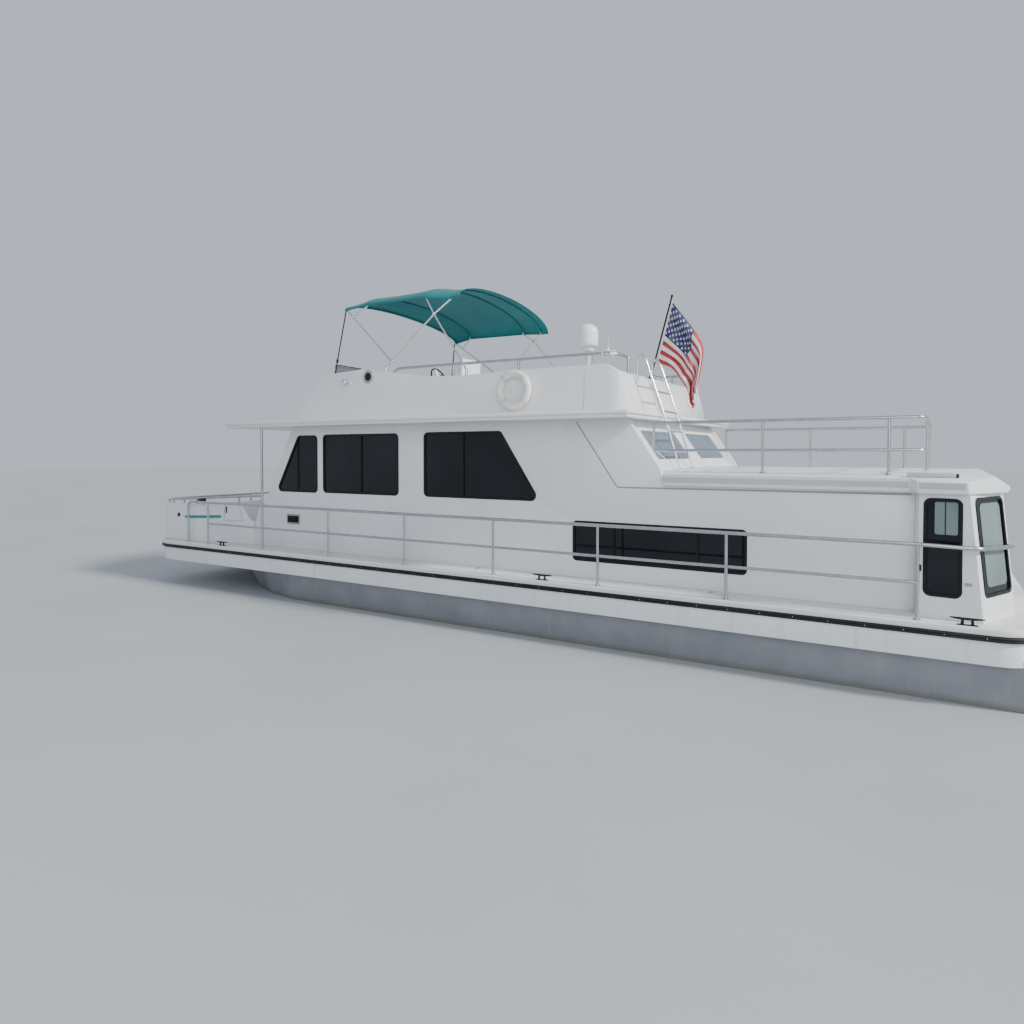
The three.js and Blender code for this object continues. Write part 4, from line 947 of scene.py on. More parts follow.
bowRailPath = [
    (3.93, 1.672, 1.503), (4.43, 1.74, 1.48), (5.2, 1.95, 1.436), (5.85, 1.97, 1.402),
    (6.23, 1.8, 1.386), (6.33, 1.45, 1.382), (6.35, 0.0, 1.382),
]


def bulwarkTop(x):  # the bulwark's edge is level, then slopes down at the bow
    return 1.3453 if x < 6.06 else 1.35 - (x - 6.05) * 0.378


def makeBowRail():
    whole = bowRailPath + [(x, -y, z) for x, y, z in reversed(bowRailPath[:-1])]
    parts = [bent(whole, railSettings["rail"], 0.3)]
    for x, y, z in whole[1:-1]:
        parts.append(post((x, y, bulwarkTop(x)), (x, y, z)))
    makePiece("bowRail", parts, satinRail, replaces=["bow_rail"])


makeBowRail()


aftRoofRail = dict(
    side=1.55, foreX=-2.56, aftX=-5.22, topZ=2.53, midZ=2.22, bend=0.12,
    posts=[(-3.75, 1.55, 1.99), (-4.92, 1.55, 1.99), (-5.22, 0.5, 2.004)],  # with the roof's height
)


def makeAftRoofRail(settings):
    side, foreX, aftX, topZ, midZ = (settings[key] for key in ("side", "foreX", "aftX", "topZ", "midZ"))

    def loop(z, radius):
        path = [(foreX, side, z), (aftX, side, z), (aftX, -side, z), (foreX, -side, z)]
        return bent(path, radius, settings["bend"])

    parts = [loop(topZ, railSettings["rail"]), loop(midZ, railSettings["post"])]
    for sign in (1, -1):
        for x, y, roofZ in settings["posts"]:
            parts.append(post((x, y * sign, roofZ - 0.02), (x, y * sign, topZ)))
            parts.append(postFoot(x, y * sign, roofZ - 0.004))
        parts.append(post((foreX, side * sign, midZ), (foreX, side * sign, topZ)))
    makePiece("aftRoofRail", parts, satinRail, replaces=["aft_roof_rail"])


makeAftRoofRail(aftRoofRail)

coaming = [
    (3.4, 2.74), (2.63, 3.375), (1.92, 3.41), (1.3, 3.33), (0.7, 3.24), (0.11, 3.22),
    (-0.66, 3.24), (-1.97, 3.24), (-2.12, 3.14), (-2.27, 2.69),
]


def coamingZ(x):
    return next(between(x, a, b) for a, b in zip(coaming, coaming[1:]) if b[0] <= x <= a[0])


flybridgeRail = dict(
    y=1.48, foreX=1.36, bend=0.07, high=3.38, posts=(0.3, -0.73, -1.75),
    path=[
        (1.27, 1.48, 3.392), (-1.85, 1.48, 3.378), (-2.01, 1.42, 3.372), (-2.06, 1.26, 3.368),
        (-2.06, 1.18, 3.366), (-2.1, 1.18, 3.35), (-2.1, 1.18, 3.15),
    ],
)


def makeFlybridgeRails(settings):
    y, foreX = settings["y"], settings["foreX"]
    side = [(foreX, y, coamingZ(foreX) - 0.004)] + settings["path"]
    parts = [bent(side, railSettings["grab"], settings["bend"])]
    for x in settings["posts"]:
        parts.append(post((x, y, coamingZ(x)), (x, y, settings["high"])))
        parts.append(postFoot(x, y, coamingZ(x)))
    makePair("flybridgeRail", parts, satinRail, "flybridge_rail")


makeFlybridgeRails(flybridgeRail)


ladder = dict(
    sides=(0.57, 1.07), top=(3.33, -2.275), knee=(2.6, -2.528), low=(1.98, -2.712),  # height and x
    hook=[(2.99, -2.166), (3.35, -2.18), (3.39, -2.225)], rungs=(2.21, 2.45, 2.69, 2.93, 3.13), bend=0.05,
)


def makeLadder(settings):
    top, knee, low, radius = settings["top"], settings["knee"], settings["low"], railSettings["ladder"]

    def ladderX(z):
        return between(z, top, knee) if z > knee[0] else between(z, knee, low)

    parts = []
    for y in settings["sides"]:
        line = [(x, y, z) for z, x in settings["hook"] + [top, knee]] + [(ladderX(2.012), y, 2.006)]
        parts += [bent(line, radius, settings["bend"]), postFoot(ladderX(2.012), y, 2.003)]
    for z in settings["rungs"]:
        parts.append(tube([(ladderX(z), y, z) for y in settings["sides"]], radius, 14))
    makePiece("ladder", parts, stainless, replaces=["roof_ladder"])


makeLadder(ladder)

topBows = [  # front to aft
    dict(x=2.34, halfWidth=1.39, endZ=4.27, rise=0.192),
    dict(x=1.98, halfWidth=1.335, endZ=4.32, rise=0.258),
    dict(x=0.87, halfWidth=1.34, endZ=4.306, rise=0.298),
    dict(x=0.49, halfWidth=1.28, endZ=4.265, rise=0.292),
]
topLegs = dict(
    lean=0.048, slide=0.86, hinge=(1.46, 1.53, 3.4), brace=(0.05, 1.53, 3.3),
    fold=(0.69, 1.4, 4.12), foot=(1.362, 1.515, 3.492),
)


def bowPoint(bow, t):  # y and z along a bow, t from -1 to 1 across the boat
    turn = t * math.pi / 2
    y = bow["halfWidth"] * math.sin(turn)
    return y, bow["endZ"] + bow["rise"] * math.cos(turn) + topLegs["lean"] * y


def evenly(steps):
    return [2 * k / steps - 1 for k in range(steps + 1)]


def makeTopFrame(legs):
    r = railSettings["bow"]
    parts = [tube([(bow["x"], *bowPoint(bow, t)) for t in evenly(56)], r, 12) for bow in topBows]
    joint = evenProfile([(0, 0.02), (0.017, 0.02), (0.02, 0.014)])
    for side in (1, -1):
        spots = [legs[name] for name in ("hinge", "brace", "fold", "foot")]
        hinge, brace, fold, foot = (Vector((x, y * side, z)) for x, y, z in spots)
        first, second, third, last = (Vector((bow["x"], *bowPoint(bow, side))) for bow in topBows)
        slide = foot.lerp(first, legs["slide"])
        parts.append(bent([hinge, fold, last], r, 0.04))
        parts += [tube(leg, r, 12) for leg in ([foot, first], [slide, second], [brace, fold], [fold, third])]
        for x, y, z in (hinge, brace):
            low = coamingZ(x) + 0.0005
            base = [
                (0, low), (0.028, low), (0.028, low + 0.006), (0.018, low + 0.01), (0.018, z + 0.008),
                (0, z + 0.008),
            ]
            parts.append(lathe(base, (x, y, 0), sides=20))
        parts += [lathe(joint, spot, (0, 1, 0), 16) for spot in (fold, slide, foot)]
    makePiece("topFrame", parts, stainless, replaces=["bimini_frame"])


makeTopFrame(topLegs)


topStraps = dict(highX=2.366, low=(2.52, 1.47, 3.395), wide=0.025, thick=0.0024, buckleAt=0.8)


def makeTopStraps(settings):  # webbing that holds the front bow down, with its buckle
    parts, buckles = [], []
    for side in (1, -1):
        high = Vector((settings["highX"], *bowPoint(topBows[0], side * 0.985)))
        low = Vector(settings["low"])
        low.y *= side
        along = (low - high).normalized()
        wide = along.cross(Vector((0, 1, 0))).normalized() * settings["wide"] / 2
        thin = along.cross(wide).normalized() * settings["thick"] / 2
        rings = []
        for k in range(13):
            spot = high.lerp(low, k / 12)
            rings.append([spot - wide - thin, spot + wide - thin, spot + wide + thin, spot - wide + thin])
        parts.append(skin(rings))
        turn = Vector((0, 0, 1)).rotation_difference(along)
        spot = high.lerp(low, settings["buckleAt"])
        buckles.append(blockAt(spot, (0.019, 0.006, 0.026), 0.004, 2, turn))
        buckles.append(blockAt(low, (0.018, 0.012, 0.01), 0.004))
    makePiece("topStraps", parts, webbing)
    makePiece("strapBuckles", buckles, blackPlastic)


makeTopStraps(topStraps)
print("rails, ladder and top frame made")


# canopy: one sheet over the bows, drawn in a little between them

canopy = dict(frontX=2.372, aftX=0.353, lift=0.0145, thick=0.003, sag=0.014, across=110, along=84)


def canopyPoint(x, t, lift):
    spans = [dict(topBows[0], x=canopy["frontX"])] + topBows + [dict(topBows[-1], x=canopy["aftX"])]
    x = min(max(x, canopy["aftX"]), canopy["frontX"])
    a, b = next((a, b) for a, b in zip(spans, spans[1:]) if b["x"] <= x <= a["x"])
    share = (a["x"] - x) / max(a["x"] - b["x"], 1e-9)
    bow = {key: a[key] + (b[key] - a[key]) * share for key in ("halfWidth", "endZ", "rise")}
    hang = canopy["sag"] * math.sin(math.pi * share) * min(1.0, (a["x"] - b["x"]) / 0.5)
    y, z = bowPoint(bow, t)
    y0, z0 = bowPoint(bow, max(t - 0.01, -1))
    y1, z1 = bowPoint(bow, min(t + 0.01, 1))
    normal = Vector((0, z0 - z1, y1 - y0)).normalized()
    return Vector((x, y, z)) + normal * (lift - hang * (1 - abs(t) ** 6))


def canopyLength(steps):  # stations from the front edge to the aft edge
    return [canopy["frontX"] + (canopy["aftX"] - canopy["frontX"]) * i / steps for i in range(steps + 1)]


def makeCanopy(settings):
    lift = settings["lift"]
    stations, shares = canopyLength(settings["along"]), evenly(settings["across"])
    points = [canopyPoint(x, t, lift) for x in stations for t in shares]
    faces = gridFaces(len(stations), len(shares))
    piece = makePiece("canopyCloth", [(points, faces)], canvas, replaces=["bimini_canopy"], sharp=180)
    thick = piece.modifiers.new("cloth", "SOLIDIFY")
    thick.thickness = settings["thick"]
    thick.offset = 1
    ends = [[canopyPoint(x, t, lift) for t in evenly(70)] for x in (settings["frontX"], settings["aftX"])]
    sides = [[canopyPoint(x, t, lift) for x in canopyLength(60)] for t in (1, -1)]
    hem = makePiece("canopyHem", [tube(path, 0.006, 8) for path in ends + sides], canvas)
    raised = lift + 0.0035
    seams = [[canopyPoint(x, t, raised) for x in canopyLength(80)] for t in (-0.24, 0.24)]
    for bow in topBows[1:-1]:
        for shift in (0.028, -0.028):
            seams.append([canopyPoint(bow["x"] + shift, 0.98 * t, raised) for t in evenly(80)])
    seam = makePiece("canopySeams", [tube(path, 0.0022, 6) for path in seams], canvas)
    return piece, hem, seam


def makeBowPockets():  # sleeves sewn under the canopy, which the bows run through
    parts = []
    for bow in topBows:
        path = [(bow["x"], *bowPoint(bow, 0.94 * t)) for t in evenly(60)]
        parts.append(tube(path, 0.0155, 12))
    return makePiece("bowPockets", parts, canvas)


canopyCloth, canopyHem, canopySeams = makeCanopy(canopy)
bowPockets = makeBowPockets()
print("canopy made")


# flag: a cloth whose free end is gathered as it hangs

staff = dict(
    y=0.42, radius=0.011, footX=-2.091, footZ=3.142, topX=-2.381, topZ=4.199, clips=(4.12, 3.385),
)


def staffX(z):
    return between(z, (staff["footZ"], staff["footX"]), (staff["topZ"], staff["topX"]))


flagCloth = dict(
    hoist=0.76, fly=1.22, columns=96, rows=72, pleats=2.5, ripples=3.0, widest=0.085,
    top=[
        (-2.376, 4.138), (-2.53, 3.93), (-2.684, 3.728), (-2.776, 3.58), (-2.796, 3.479), (-2.782, 3.33),
        (-2.743, 3.142), (-2.712, 3.02),
    ],
    low=[
        (-2.172, 3.362), (-2.29, 3.322), (-2.396, 3.274), (-2.47, 3.147), (-2.56, 3.061), (-2.592, 2.928),
        (-2.6, 2.8), (-2.64, 2.69),
    ],
)


def alongLine(points, share):  # a point on a line by its share of the length
    lengths = [math.dist(a, b) for a, b in zip(points, points[1:])]
    rest = share * sum(lengths)
    for (a, b), length in zip(zip(points, points[1:]), lengths):
        if rest <= length:
            t = rest / length
            return [p + (q - p) * t for p, q in zip(a, b)]
        rest -= length
    return list(points[-1])


def smoothLine(points, rounds=3):
    for _ in range(rounds):
        cut = [points[0]]
        for a, b in zip(points, points[1:]):
            cut.append(tuple(p * 0.75 + q * 0.25 for p, q in zip(a, b)))
            cut.append(tuple(p * 0.25 + q * 0.75 for p, q in zip(a, b)))
        points = cut + [points[-1]]
    return points


def threadLength(points):
    return sum(math.dist(a, b) for a, b in zip(points, points[1:]))


def foldDepth(flat, wave, length, widest):  # how deep the folds are, so that a thread keeps its length
    low, high = 0.0, widest
    for _ in range(16):
        middle = (low + high) / 2
        swung = [(x, z, middle * w) for (x, z), w in zip(flat, wave)]
        low, high = (middle, high) if threadLength(swung) < length else (low, middle)
    return low


def makeFlag(settings):
    top, low = smoothLine(settings["top"]), smoothLine(settings["low"])
    nu, nv = settings["columns"], settings["rows"]
    us, vs = [i / nu for i in range(nu + 1)], [j / nv for j in range(nv + 1)]

    def hanging(u, v):  # the flag without its folds
        belly = 0.035 * math.sin(math.pi * v) * math.sin(math.pi * min(1, u * 1.3))
        (ax, az), (bx, bz) = alongLine(top, u), alongLine(low, u)
        return ax + (bx - ax) * v - belly * 0.4, az + (bz - az) * v - belly

    def pleat(u, v):
        return math.sin(2 * math.pi * settings["pleats"] * v ** 1.1 + 0.9 * math.sin(3.1 * u) * v * (1 - v))

    def ripple(u, v):
        return math.sin(2 * math.pi * settings["ripples"] * u ** 1.2 - 1.3 * v) * min(1, u * 2.5)

    flat = [[hanging(u, v) for u in us] for v in vs]
    across = []
    for i, u in enumerate(us):
        column = [row[i] for row in flat]
        across.append(foldDepth(column, [pleat(u, v) for v in vs], settings["hoist"], settings["widest"]))
    loose = settings["fly"] * 0.95
    along = [foldDepth(row, [ripple(u, v) for u in us], loose, 0.045) for row, v in zip(flat, vs)]
    points = []
    for row, v, rippled in zip(flat, vs, along):
        for (x, z), u, pleated in zip(row, us, across):
            swing = pleated * min(1, u * 6) * pleat(u, v) + rippled * ripple(u, v) * (1 - 0.5 * u)
            points.append((x, staff["y"] + swing, z))
    mesh = bpy.data.meshes.new("flagCloth")
    mesh.from_pydata(points, [], gridFaces(nv + 1, nu + 1))
    layer = mesh.uv_layers.new(name="cloth")
    for loop in mesh.loops:
        j, i = divmod(loop.vertex_index, nu + 1)
        layer.data[loop.index].uv = (us[i], vs[j])
    smoothed(mesh)
    piece = place("flagCloth", mesh, flagFinish, "boat", ["flag"])
    thick = piece.modifiers.new("cloth", "SOLIDIFY")
    thick.thickness = 0.0012
    thick.offset = 0
    return piece


flag = makeFlag(flagCloth)


def makeStaff():
    foot = Vector((staffX(3.15), staff["y"], 3.15))
    tip = Vector((staff["topX"], staff["y"], staff["topZ"]))
    along = (tip - foot).normalized()
    pole = tube([foot, tip], staff["radius"], 16)
    ball = [(0, -0.018), (0.012, -0.016), (0.018, -0.004), (0.017, 0.006), (0.01, 0.016), (0, 0.019)]
    cup = [(0, 0), (0.022, 0), (0.022, 0.05), (0.018, 0.06), (0.012, 0.062), (0, 0.062)]
    finial, socket = lathe(ball, tip, along, 20), lathe(cup, foot, along, 20)
    flange = roundedBlock((-2.12, 0.392, 3.138), (-2.078, 0.448, 3.166), 0.006, 2)
    clips = []
    for z in staff["clips"]:
        ring = [(y, dz * 0.4) for y, dz in (polar(0.016, a) for a in turns(20))]
        clips.append(tube([(staffX(z) + 0.004, staff["y"] + y, z + dz) for y, dz in ring], 0.002, 8, True))
    makePiece("flagStaff", [pole, finial, socket, flange], blackPlastic, replaces=["flag_staff"])
    makePiece("flagClips", clips, stainless)


makeStaff()
print("flag and staff made")


# cushions, blown up a little inside their covers

def padMesh(low, high, corner=0.05, puff=0.012, crown=0.015, voxel=0.008):
    size = Vector(high) - Vector(low)
    middle = (Vector(high) + Vector(low)) / 2
    bm = easedCube(size - Vector((puff, puff, puff)) * 1.6, min(corner, min(size) * 0.4), 4, 0.6)
    mesh = bpy.data.meshes.new("pad")
    bm.to_mesh(mesh)
    bm.free()
    pad = linked("pad", mesh)
    remesh = pad.modifiers.new("even", "REMESH")
    remesh.mode = "VOXEL"
    remesh.voxel_size = voxel
    even = evaluated(pad)
    pad.modifiers.clear()
    pad.data = even
    rest = [v.co.copy() for v in even.vertices]
    cloth = pad.modifiers.new("air", "CLOTH")
    cloth.settings.use_pressure = True
    cloth.settings.uniform_pressure_force = 4.0
    cloth.settings.effector_weights.gravity = 0
    cloth.settings.quality = 4
    scene = bpy.context.scene
    for step in range(1, 19):
        scene.frame_set(step)
    blown = evaluated(pad)
    for vertex, start in zip(blown.vertices, rest):
        shift = vertex.co - start
        if shift.length > puff:
            shift = shift.normalized() * puff
        vertex.co = start + shift
    pad.modifiers.clear()
    pad.data = blown
    scene.frame_set(1)
    made = pad.data.copy()
    bpy.data.objects.remove(pad)
    half = size / 2
    for vertex in made.vertices:
        p = vertex.co
        if p.z > 0:  # crowned on top, flat below
            p.z += crown * max(0, 1 - (p.x / half.x) ** 2) * max(0, 1 - (p.y / half.y) ** 2)
        p.z = max(p.z, -half.z)
    made.transform(Matrix.Translation(middle))
    smoothed(made)
    return made


def welt(low, high, z, radius=0.005, corner=0.05):  # the corded seam round a cushion
    middle = (Vector(high) + Vector(low)) / 2
    half = (Vector(high) - Vector(low)) / 2
    ring = rounded(rect(-half.x, half.x, -half.y, half.y), corner, 6)
    return tube([middle + Vector((p.x, p.y, z)) for p in ring], radius, 8, True)


cushions = dict(
    seat=dict(low=(1.112, -0.243, 3.1755), high=(1.556, 0.243, 3.27), node="seat_cushion", crown=0.012),
    back=dict(low=(1.083, -0.238, 3.293), high=(1.16, 0.238, 3.655), node="back_cushion", crown=0.014),
)
backTilt = -0.0785


def makeCushions():
    for name, c in cushions.items():
        if name == "back":  # built lying down, then stood up against the seat's back
            low, high = Vector(c["low"]), Vector(c["high"])
            middle, lying = (low + high) / 2, (high - low).zyx
            mesh = padMesh(middle - lying / 2, middle + lying / 2, crown=c["crown"])
            stand = Matrix.Rotation(math.pi / 2 + backTilt, 4, "Y")
            mesh.transform(Matrix.Translation(middle) @ stand @ Matrix.Translation(-middle))
        else:
            mesh = padMesh(c["low"], c["high"], crown=c["crown"])
        piece = place(name + "Cushion", mesh, vinyl, "boat", [c["node"]])
    low, high = cushions["seat"]["low"], cushions["seat"]["high"]
    makePiece("seatWelt", [welt(low, high, 0.028), welt(low, high, -0.035)], vinyl)


makeCushions()

cabinPads = dict(
    settee=[
        ((-0.89, 1.01, 1.1303), (-0.07, 1.465, 1.23)), ((-0.06, 1.01, 1.1303), (0.76, 1.465, 1.23)),
        ((0.77, 1.01, 1.1303), (1.59, 1.465, 1.23)),
    ],
    berth=[((-5.29, -0.84, 0.5403), (-3.41, 0.84, 0.66))],
)
for group, pads in cabinPads.items():
    for index, (low, high) in enumerate(pads):
        mesh = padMesh(low, high, corner=0.04, crown=0.02, voxel=0.014 if group == "settee" else 0.03)
        pad = place(f"{group}Pad{index + 1}", mesh, vinyl)
print("cushions made")


# helm, radar, life ring

helmWheel = dict(centre=(1.67, 0, 3.4), tilt=25, radius=0.18, grip=0.013, spokes=(90, 210, 330))


def makeWheel(settings):
    tilt = Quaternion((0, 1, 0), math.radians(settings["tilt"]))
    centre = Vector(settings["centre"])

    def at(x, radius, angle):
        return centre + tilt @ Vector((x, *polar(radius, angle)))

    grip = tube([at(0, settings["radius"], a) for a in turns(48)], settings["grip"], 12, True)
    metal = []
    spoke = ((0.02, 0.02), (0.012, 0.09), (0, 0.176))
    for angle in settings["spokes"]:
        line = [at(x, radius, math.radians(angle)) for x, radius in spoke]
        metal.append(tube(line, [0.011, 0.008, 0.007], 10))
    hub = [
        (0, -0.02), (0.016, -0.02), (0.026, -0.012), (0.028, 0.02), (0.02, 0.05), (0.012, 0.06),
        (0.012, 0.165), (0, 0.165),
    ]
    metal.append(lathe(hub, centre, tilt @ Vector((1, 0, 0)), 28))
    makePiece("wheelGrip", [grip], blackPlastic, "helm_wheel", ["helm_wheel"])
    makePiece("wheelSpokes", metal, stainless, "helm_wheel")


makeWheel(helmWheel)

dash = dict(
    gaugesY=(-0.28, -0.205, 0.205, 0.28), foot=(1.69, 0, 3.24), head=(1.8, 0, 3.405),
    leversY=(-0.258, -0.284), leverHigh=0.085,
)


def makeDash(settings):  # gauges on the console's face, and two throttle levers beside the wheel
    foot, head = Vector(settings["foot"]), Vector(settings["head"])
    rise = (head - foot).normalized()
    out = Vector((-rise.z, 0, rise.x))
    rims, dials, needles = [], [], []
    for count, y in enumerate(settings["gaugesY"]):
        spot = (foot + head) / 2 + Vector((0, y, 0))
        rim = [(0, -0.002), (0.031, -0.002), (0.031, 0.004), (0.027, 0.007), (0.025, 0.0045), (0, 0.0045)]
        rims.append(lathe(rim, spot, out, 28))
        dials.append(lathe([(0, 0.004), (0.0245, 0.004), (0.0245, 0.0055), (0, 0.0055)], spot, out, 28))
        angle = 0.6 + 0.5 * count
        tip = spot + out * 0.0065 + (rise * math.cos(angle) + Vector((0, 1, 0)) * math.sin(angle)) * 0.019
        needles.append(tube([spot + out * 0.0065, tip], [0.0014, 0.0006], 6))
    low, high = settings["leversY"][1] - 0.022, settings["leversY"][0] + 0.022
    rims.append(roundedBlock((1.812, low, 3.4045), (1.888, high, 3.416), 0.005))
    for y in settings["leversY"]:
        top = Vector((1.828, y, 3.41 + settings["leverHigh"]))
        rims.append(tube([(1.85, y, 3.41), (1.846, y, 3.45), top], 0.0045, 10))
        knob = [(0, -0.011), (0.008, -0.008), (0.011, 0), (0.008, 0.008), (0, 0.011)]
        dials.append(lathe(knob, top, (0, 0, 1), 16))
    makePiece("dashRims", rims, satinRail)
    makePiece("dashDials", dials, blackPlastic)
    makePiece("dashNeedles", needles, frameWhite)


makeDash(dash)


radar = dict(
    centre=(-1.65, 1.36, 0),
    dome=[
        (0, 3.43), (0.062, 3.43), (0.068, 3.438), (0.074, 3.468), (0.104, 3.486), (0.116, 3.5),
        (0.119, 3.53), (0.1205, 3.626), (0.118, 3.629), (0.118, 3.635), (0.1205, 3.638), (0.12, 3.655),
        (0.115, 3.684), (0.101, 3.716), (0.08, 3.738), (0.052, 3.755), (0.024, 3.764), (0, 3.767),
    ],
    foot=[
        (0, 2.7203), (0.068, 2.7203), (0.07, 2.724), (0.068, 2.732), (0.034, 2.738), (0.028, 2.75),
        (0.028, 3.438), (0, 3.438),
    ],
)


def makeRadar(settings):
    dome = lathe(settings["dome"], settings["centre"], sides=64)
    foot = lathe(settings["foot"], settings["centre"], sides=28)
    makePiece("radarDome", [dome, foot], domeWhite, replaces=["radar_dome"])


makeRadar(radar)

lifeRing = dict(centre=(-0.76, 1.648, 2.985), radius=0.205, thick=0.046)


def makeLifeRing(settings):
    cx, cy, cz = settings["centre"]
    radius, thick = settings["radius"], settings["thick"]

    def around(angles):
        return [(cx + radius * math.cos(a), cy, cz + radius * math.sin(a)) for a in angles]

    makePiece("lifeRing", [tube(around(turns(72)), thick, 24, True)], ringWhite, replaces=["life_ring"])
    bands = []
    for middle in (45, 135, 225, 315):
        start, end = math.radians(middle - 6), math.radians(middle + 6)
        bands.append(tube(around([start + (end - start) * k / 8 for k in range(9)]), thick + 0.001, 24))
    makePiece("lifeRingBands", bands, ringBand)
    hooks = []
    for x in (cx - 0.09, cx + 0.09):
        hooks.append(bent([(x, 1.59, cz - 0.172), (x, 1.65, cz - 0.176), (x, 1.7, cz - 0.15)], 0.006, 0.02))
    makePiece("ringHooks", hooks, stainless)


makeLifeRing(lifeRing)
print("helm, radar and life ring made")


# lines and trim on the mouldings; the side groove and the aft roof's recessed band are grey strips of
# painted shade

trimLines = dict(
    groove=[(-1.657, 2.557), (-2.178, 1.797), (-5.12, 1.806)], wide=0.02,
    fascia=[(-2.76, 1.7602), (-5.095, 1.7849)], fasciaAft=[(-5.185, 1.9667), (-5.537, 2.0077)],
    fasciaZ=(1.868, 1.928),
    seam=[(-1.692, 1.5605, 3.17), (-1.697, 1.58, 2.96), (-1.702, 1.6005, 2.68)],
)


def flatStrip(path, normal, wide, proud):  # a thin raised band along a path on a face
    half = wide / 2
    return moulding(
        path, normal, [(-half, -0.0005), (-half + 0.002, proud), (half - 0.002, proud), (half, -0.0005)],
        False,
    )


def makeTrimLines(settings):
    # the groove is drawn as a flat grey strip: painted shade in the groove
    groove = filleted([(x, cabinY, z) for x, z in settings["groove"]], 0.03)
    parts = [flatStrip(groove, (0, 1, 0), settings["wide"], 0.0008)]
    z0, z1 = settings["fasciaZ"]
    middle = (z0 + z1) / 2
    bands = []
    # the recessed band under the aft roof's lip is drawn as a flat grey strip: painted shade
    for line in (settings["fascia"], settings["fasciaAft"]):
        (x0, y0), (x1, y1) = line
        normal = Vector((y1 - y0, x0 - x1, 0)).normalized()
        bands.append(flatStrip([(x0, y0, middle), (x1, y1, middle)], normal, z1 - z0, 0.0012))
    seam = flatStrip(settings["seam"], (0, 1, 0), 0.006, 0.0008)
    makePair("sideGrooveShade", parts, greyTrimAndGrooveShade)
    makePair("roofBandShade", bands, plankGreyAndBandShade)
    makePair("flybridgeSeam", [seam], greyTrimAndGrooveShade)


makeTrimLines(trimLines)

bowSide = [(5.977, 1.993), (5.2, 1.975), (4.1253, 1.7)]  # the bulwark's outer face


def bowSideY(x):
    fore, aft = bowSide[:2] if x > bowSide[1][0] else bowSide[1:]
    return between(x, aft, fore)


bowStripe = dict(x=(5.528, 4.729), low=1.12, rise=0.027, wide=0.05)
bowDoor = dict(
    corners=[(4.66, 1.352), (4.4, 1.352), (4.325, 1.085), (4.682, 1.078)], radius=0.02, line=0.004,
    latchX=4.63, latchZ=(1.205, 1.315), inlet=(5.678, 1.147),
)


def makeBowStripe(settings):
    rings = []
    x0, x1 = settings["x"]
    for k in range(33):
        t = k / 32
        x = x0 + (x1 - x0) * t
        y, middle = bowSideY(x), settings["low"] + settings["rise"] * t
        share = min(1, min(k, 32 - k) / 2 + 0.25)  # the ends are rounded
        half = settings["wide"] / 2 * math.sin(share * math.pi / 2)
        section = ((-0.002, -half), (0.0012, -half + 0.001), (0.0012, half - 0.001), (-0.002, half))
        rings.append([(x, y + proud, middle + z) for proud, z in section])
    makePair("bowStripe", [skin(rings)], tealTape)


makeBowStripe(bowStripe)


def makeBowDoor(settings):
    outline = rounded(settings["corners"], settings["radius"], 5)
    door = tube([(x, bowSideY(x) + 0.001, z) for x, z in outline], settings["line"], 8, True)
    x, (z0, z1) = settings["latchX"], settings["latchZ"]
    y = bowSideY(x)
    latch = roundedBlock((x - 0.008, y - 0.004, z0), (x + 0.012, y + 0.014, z1), 0.004)
    socket = [(0, -0.002), (0.036, -0.002), (0.036, 0.005), (0.028, 0.011), (0, 0.012)]
    x, z = settings["inlet"]
    inlet = lathe(socket, (x, bowSideY(x), z), (0, 1, 0), 24)
    makePair("bowDoor", [door], greyTrimAndGrooveShade)
    makePair("bowFittings", [latch, inlet], blackPlastic)


makeBowDoor(bowDoor)
print("trim lines made")


# deck and side fittings

cleats = dict(port=[(4.42, 2.075), (-1.4, 2.075), (-5.56, 2.07)], length=0.26, high=0.055)


def makeCleat(x, y, z):
    half, high = cleats["length"] / 2, cleats["high"]
    horn = [(x + half * t, y, z + high + 0.006 * abs(t) ** 2) for t in (-1, -0.8, -0.4, 0, 0.4, 0.8, 1)]
    parts = [tube(horn, [0.005, 0.008, 0.011, 0.012, 0.011, 0.008, 0.005], 12)]
    for t in (-0.3, 0.3):
        parts.append(tube([(x + half * t, y, z), (x + half * t * 0.9, y, z + high)], [0.015, 0.01], 12))
    parts.append(roundedBlock((x - half * 0.6, y - 0.022, z), (x + half * 0.6, y + 0.022, z + 0.008), 0.003))
    return parts


def makeCleats():
    parts = []
    for x, y in cleats["port"]:
        parts += makeCleat(x, y, deckTop - 0.0001)
    makePair("cleats", parts, blackPlastic)


makeCleats()

deckCaps = dict(x=(-3.29, -0.3, 2.5), y=1.79)


def makeDeckCaps(settings):
    cap = [(0, 0), (0.038, 0), (0.04, 0.003), (0.036, 0.006), (0.012, 0.006), (0.01, 0.004), (0, 0.004)]
    caps = [lathe(cap, (x, settings["y"], deckTop - 0.0001), sides=28) for x in settings["x"]]
    makePair("deckCaps", caps, stainless)


makeDeckCaps(deckCaps)


def makeLockerPull(inset=0.09):  # a flush pull in the anchor locker's lid
    low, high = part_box("locker_hatch")
    pull = [(0, 0), (0.034, 0), (0.036, 0.002), (0.033, 0.004), (0.022, 0.004), (0.02, 0.002), (0, 0.002)]
    spot = (high[0] - inset, (low[1] + high[1]) / 2, high[2] - 0.0005)
    makePiece("lockerPull", [lathe(pull, spot, sides=28)], stainless, "locker_hatch")


makeLockerPull()

sideVent = dict(x=(3.05, 3.345), z=(1.088, 1.246), slats=5)


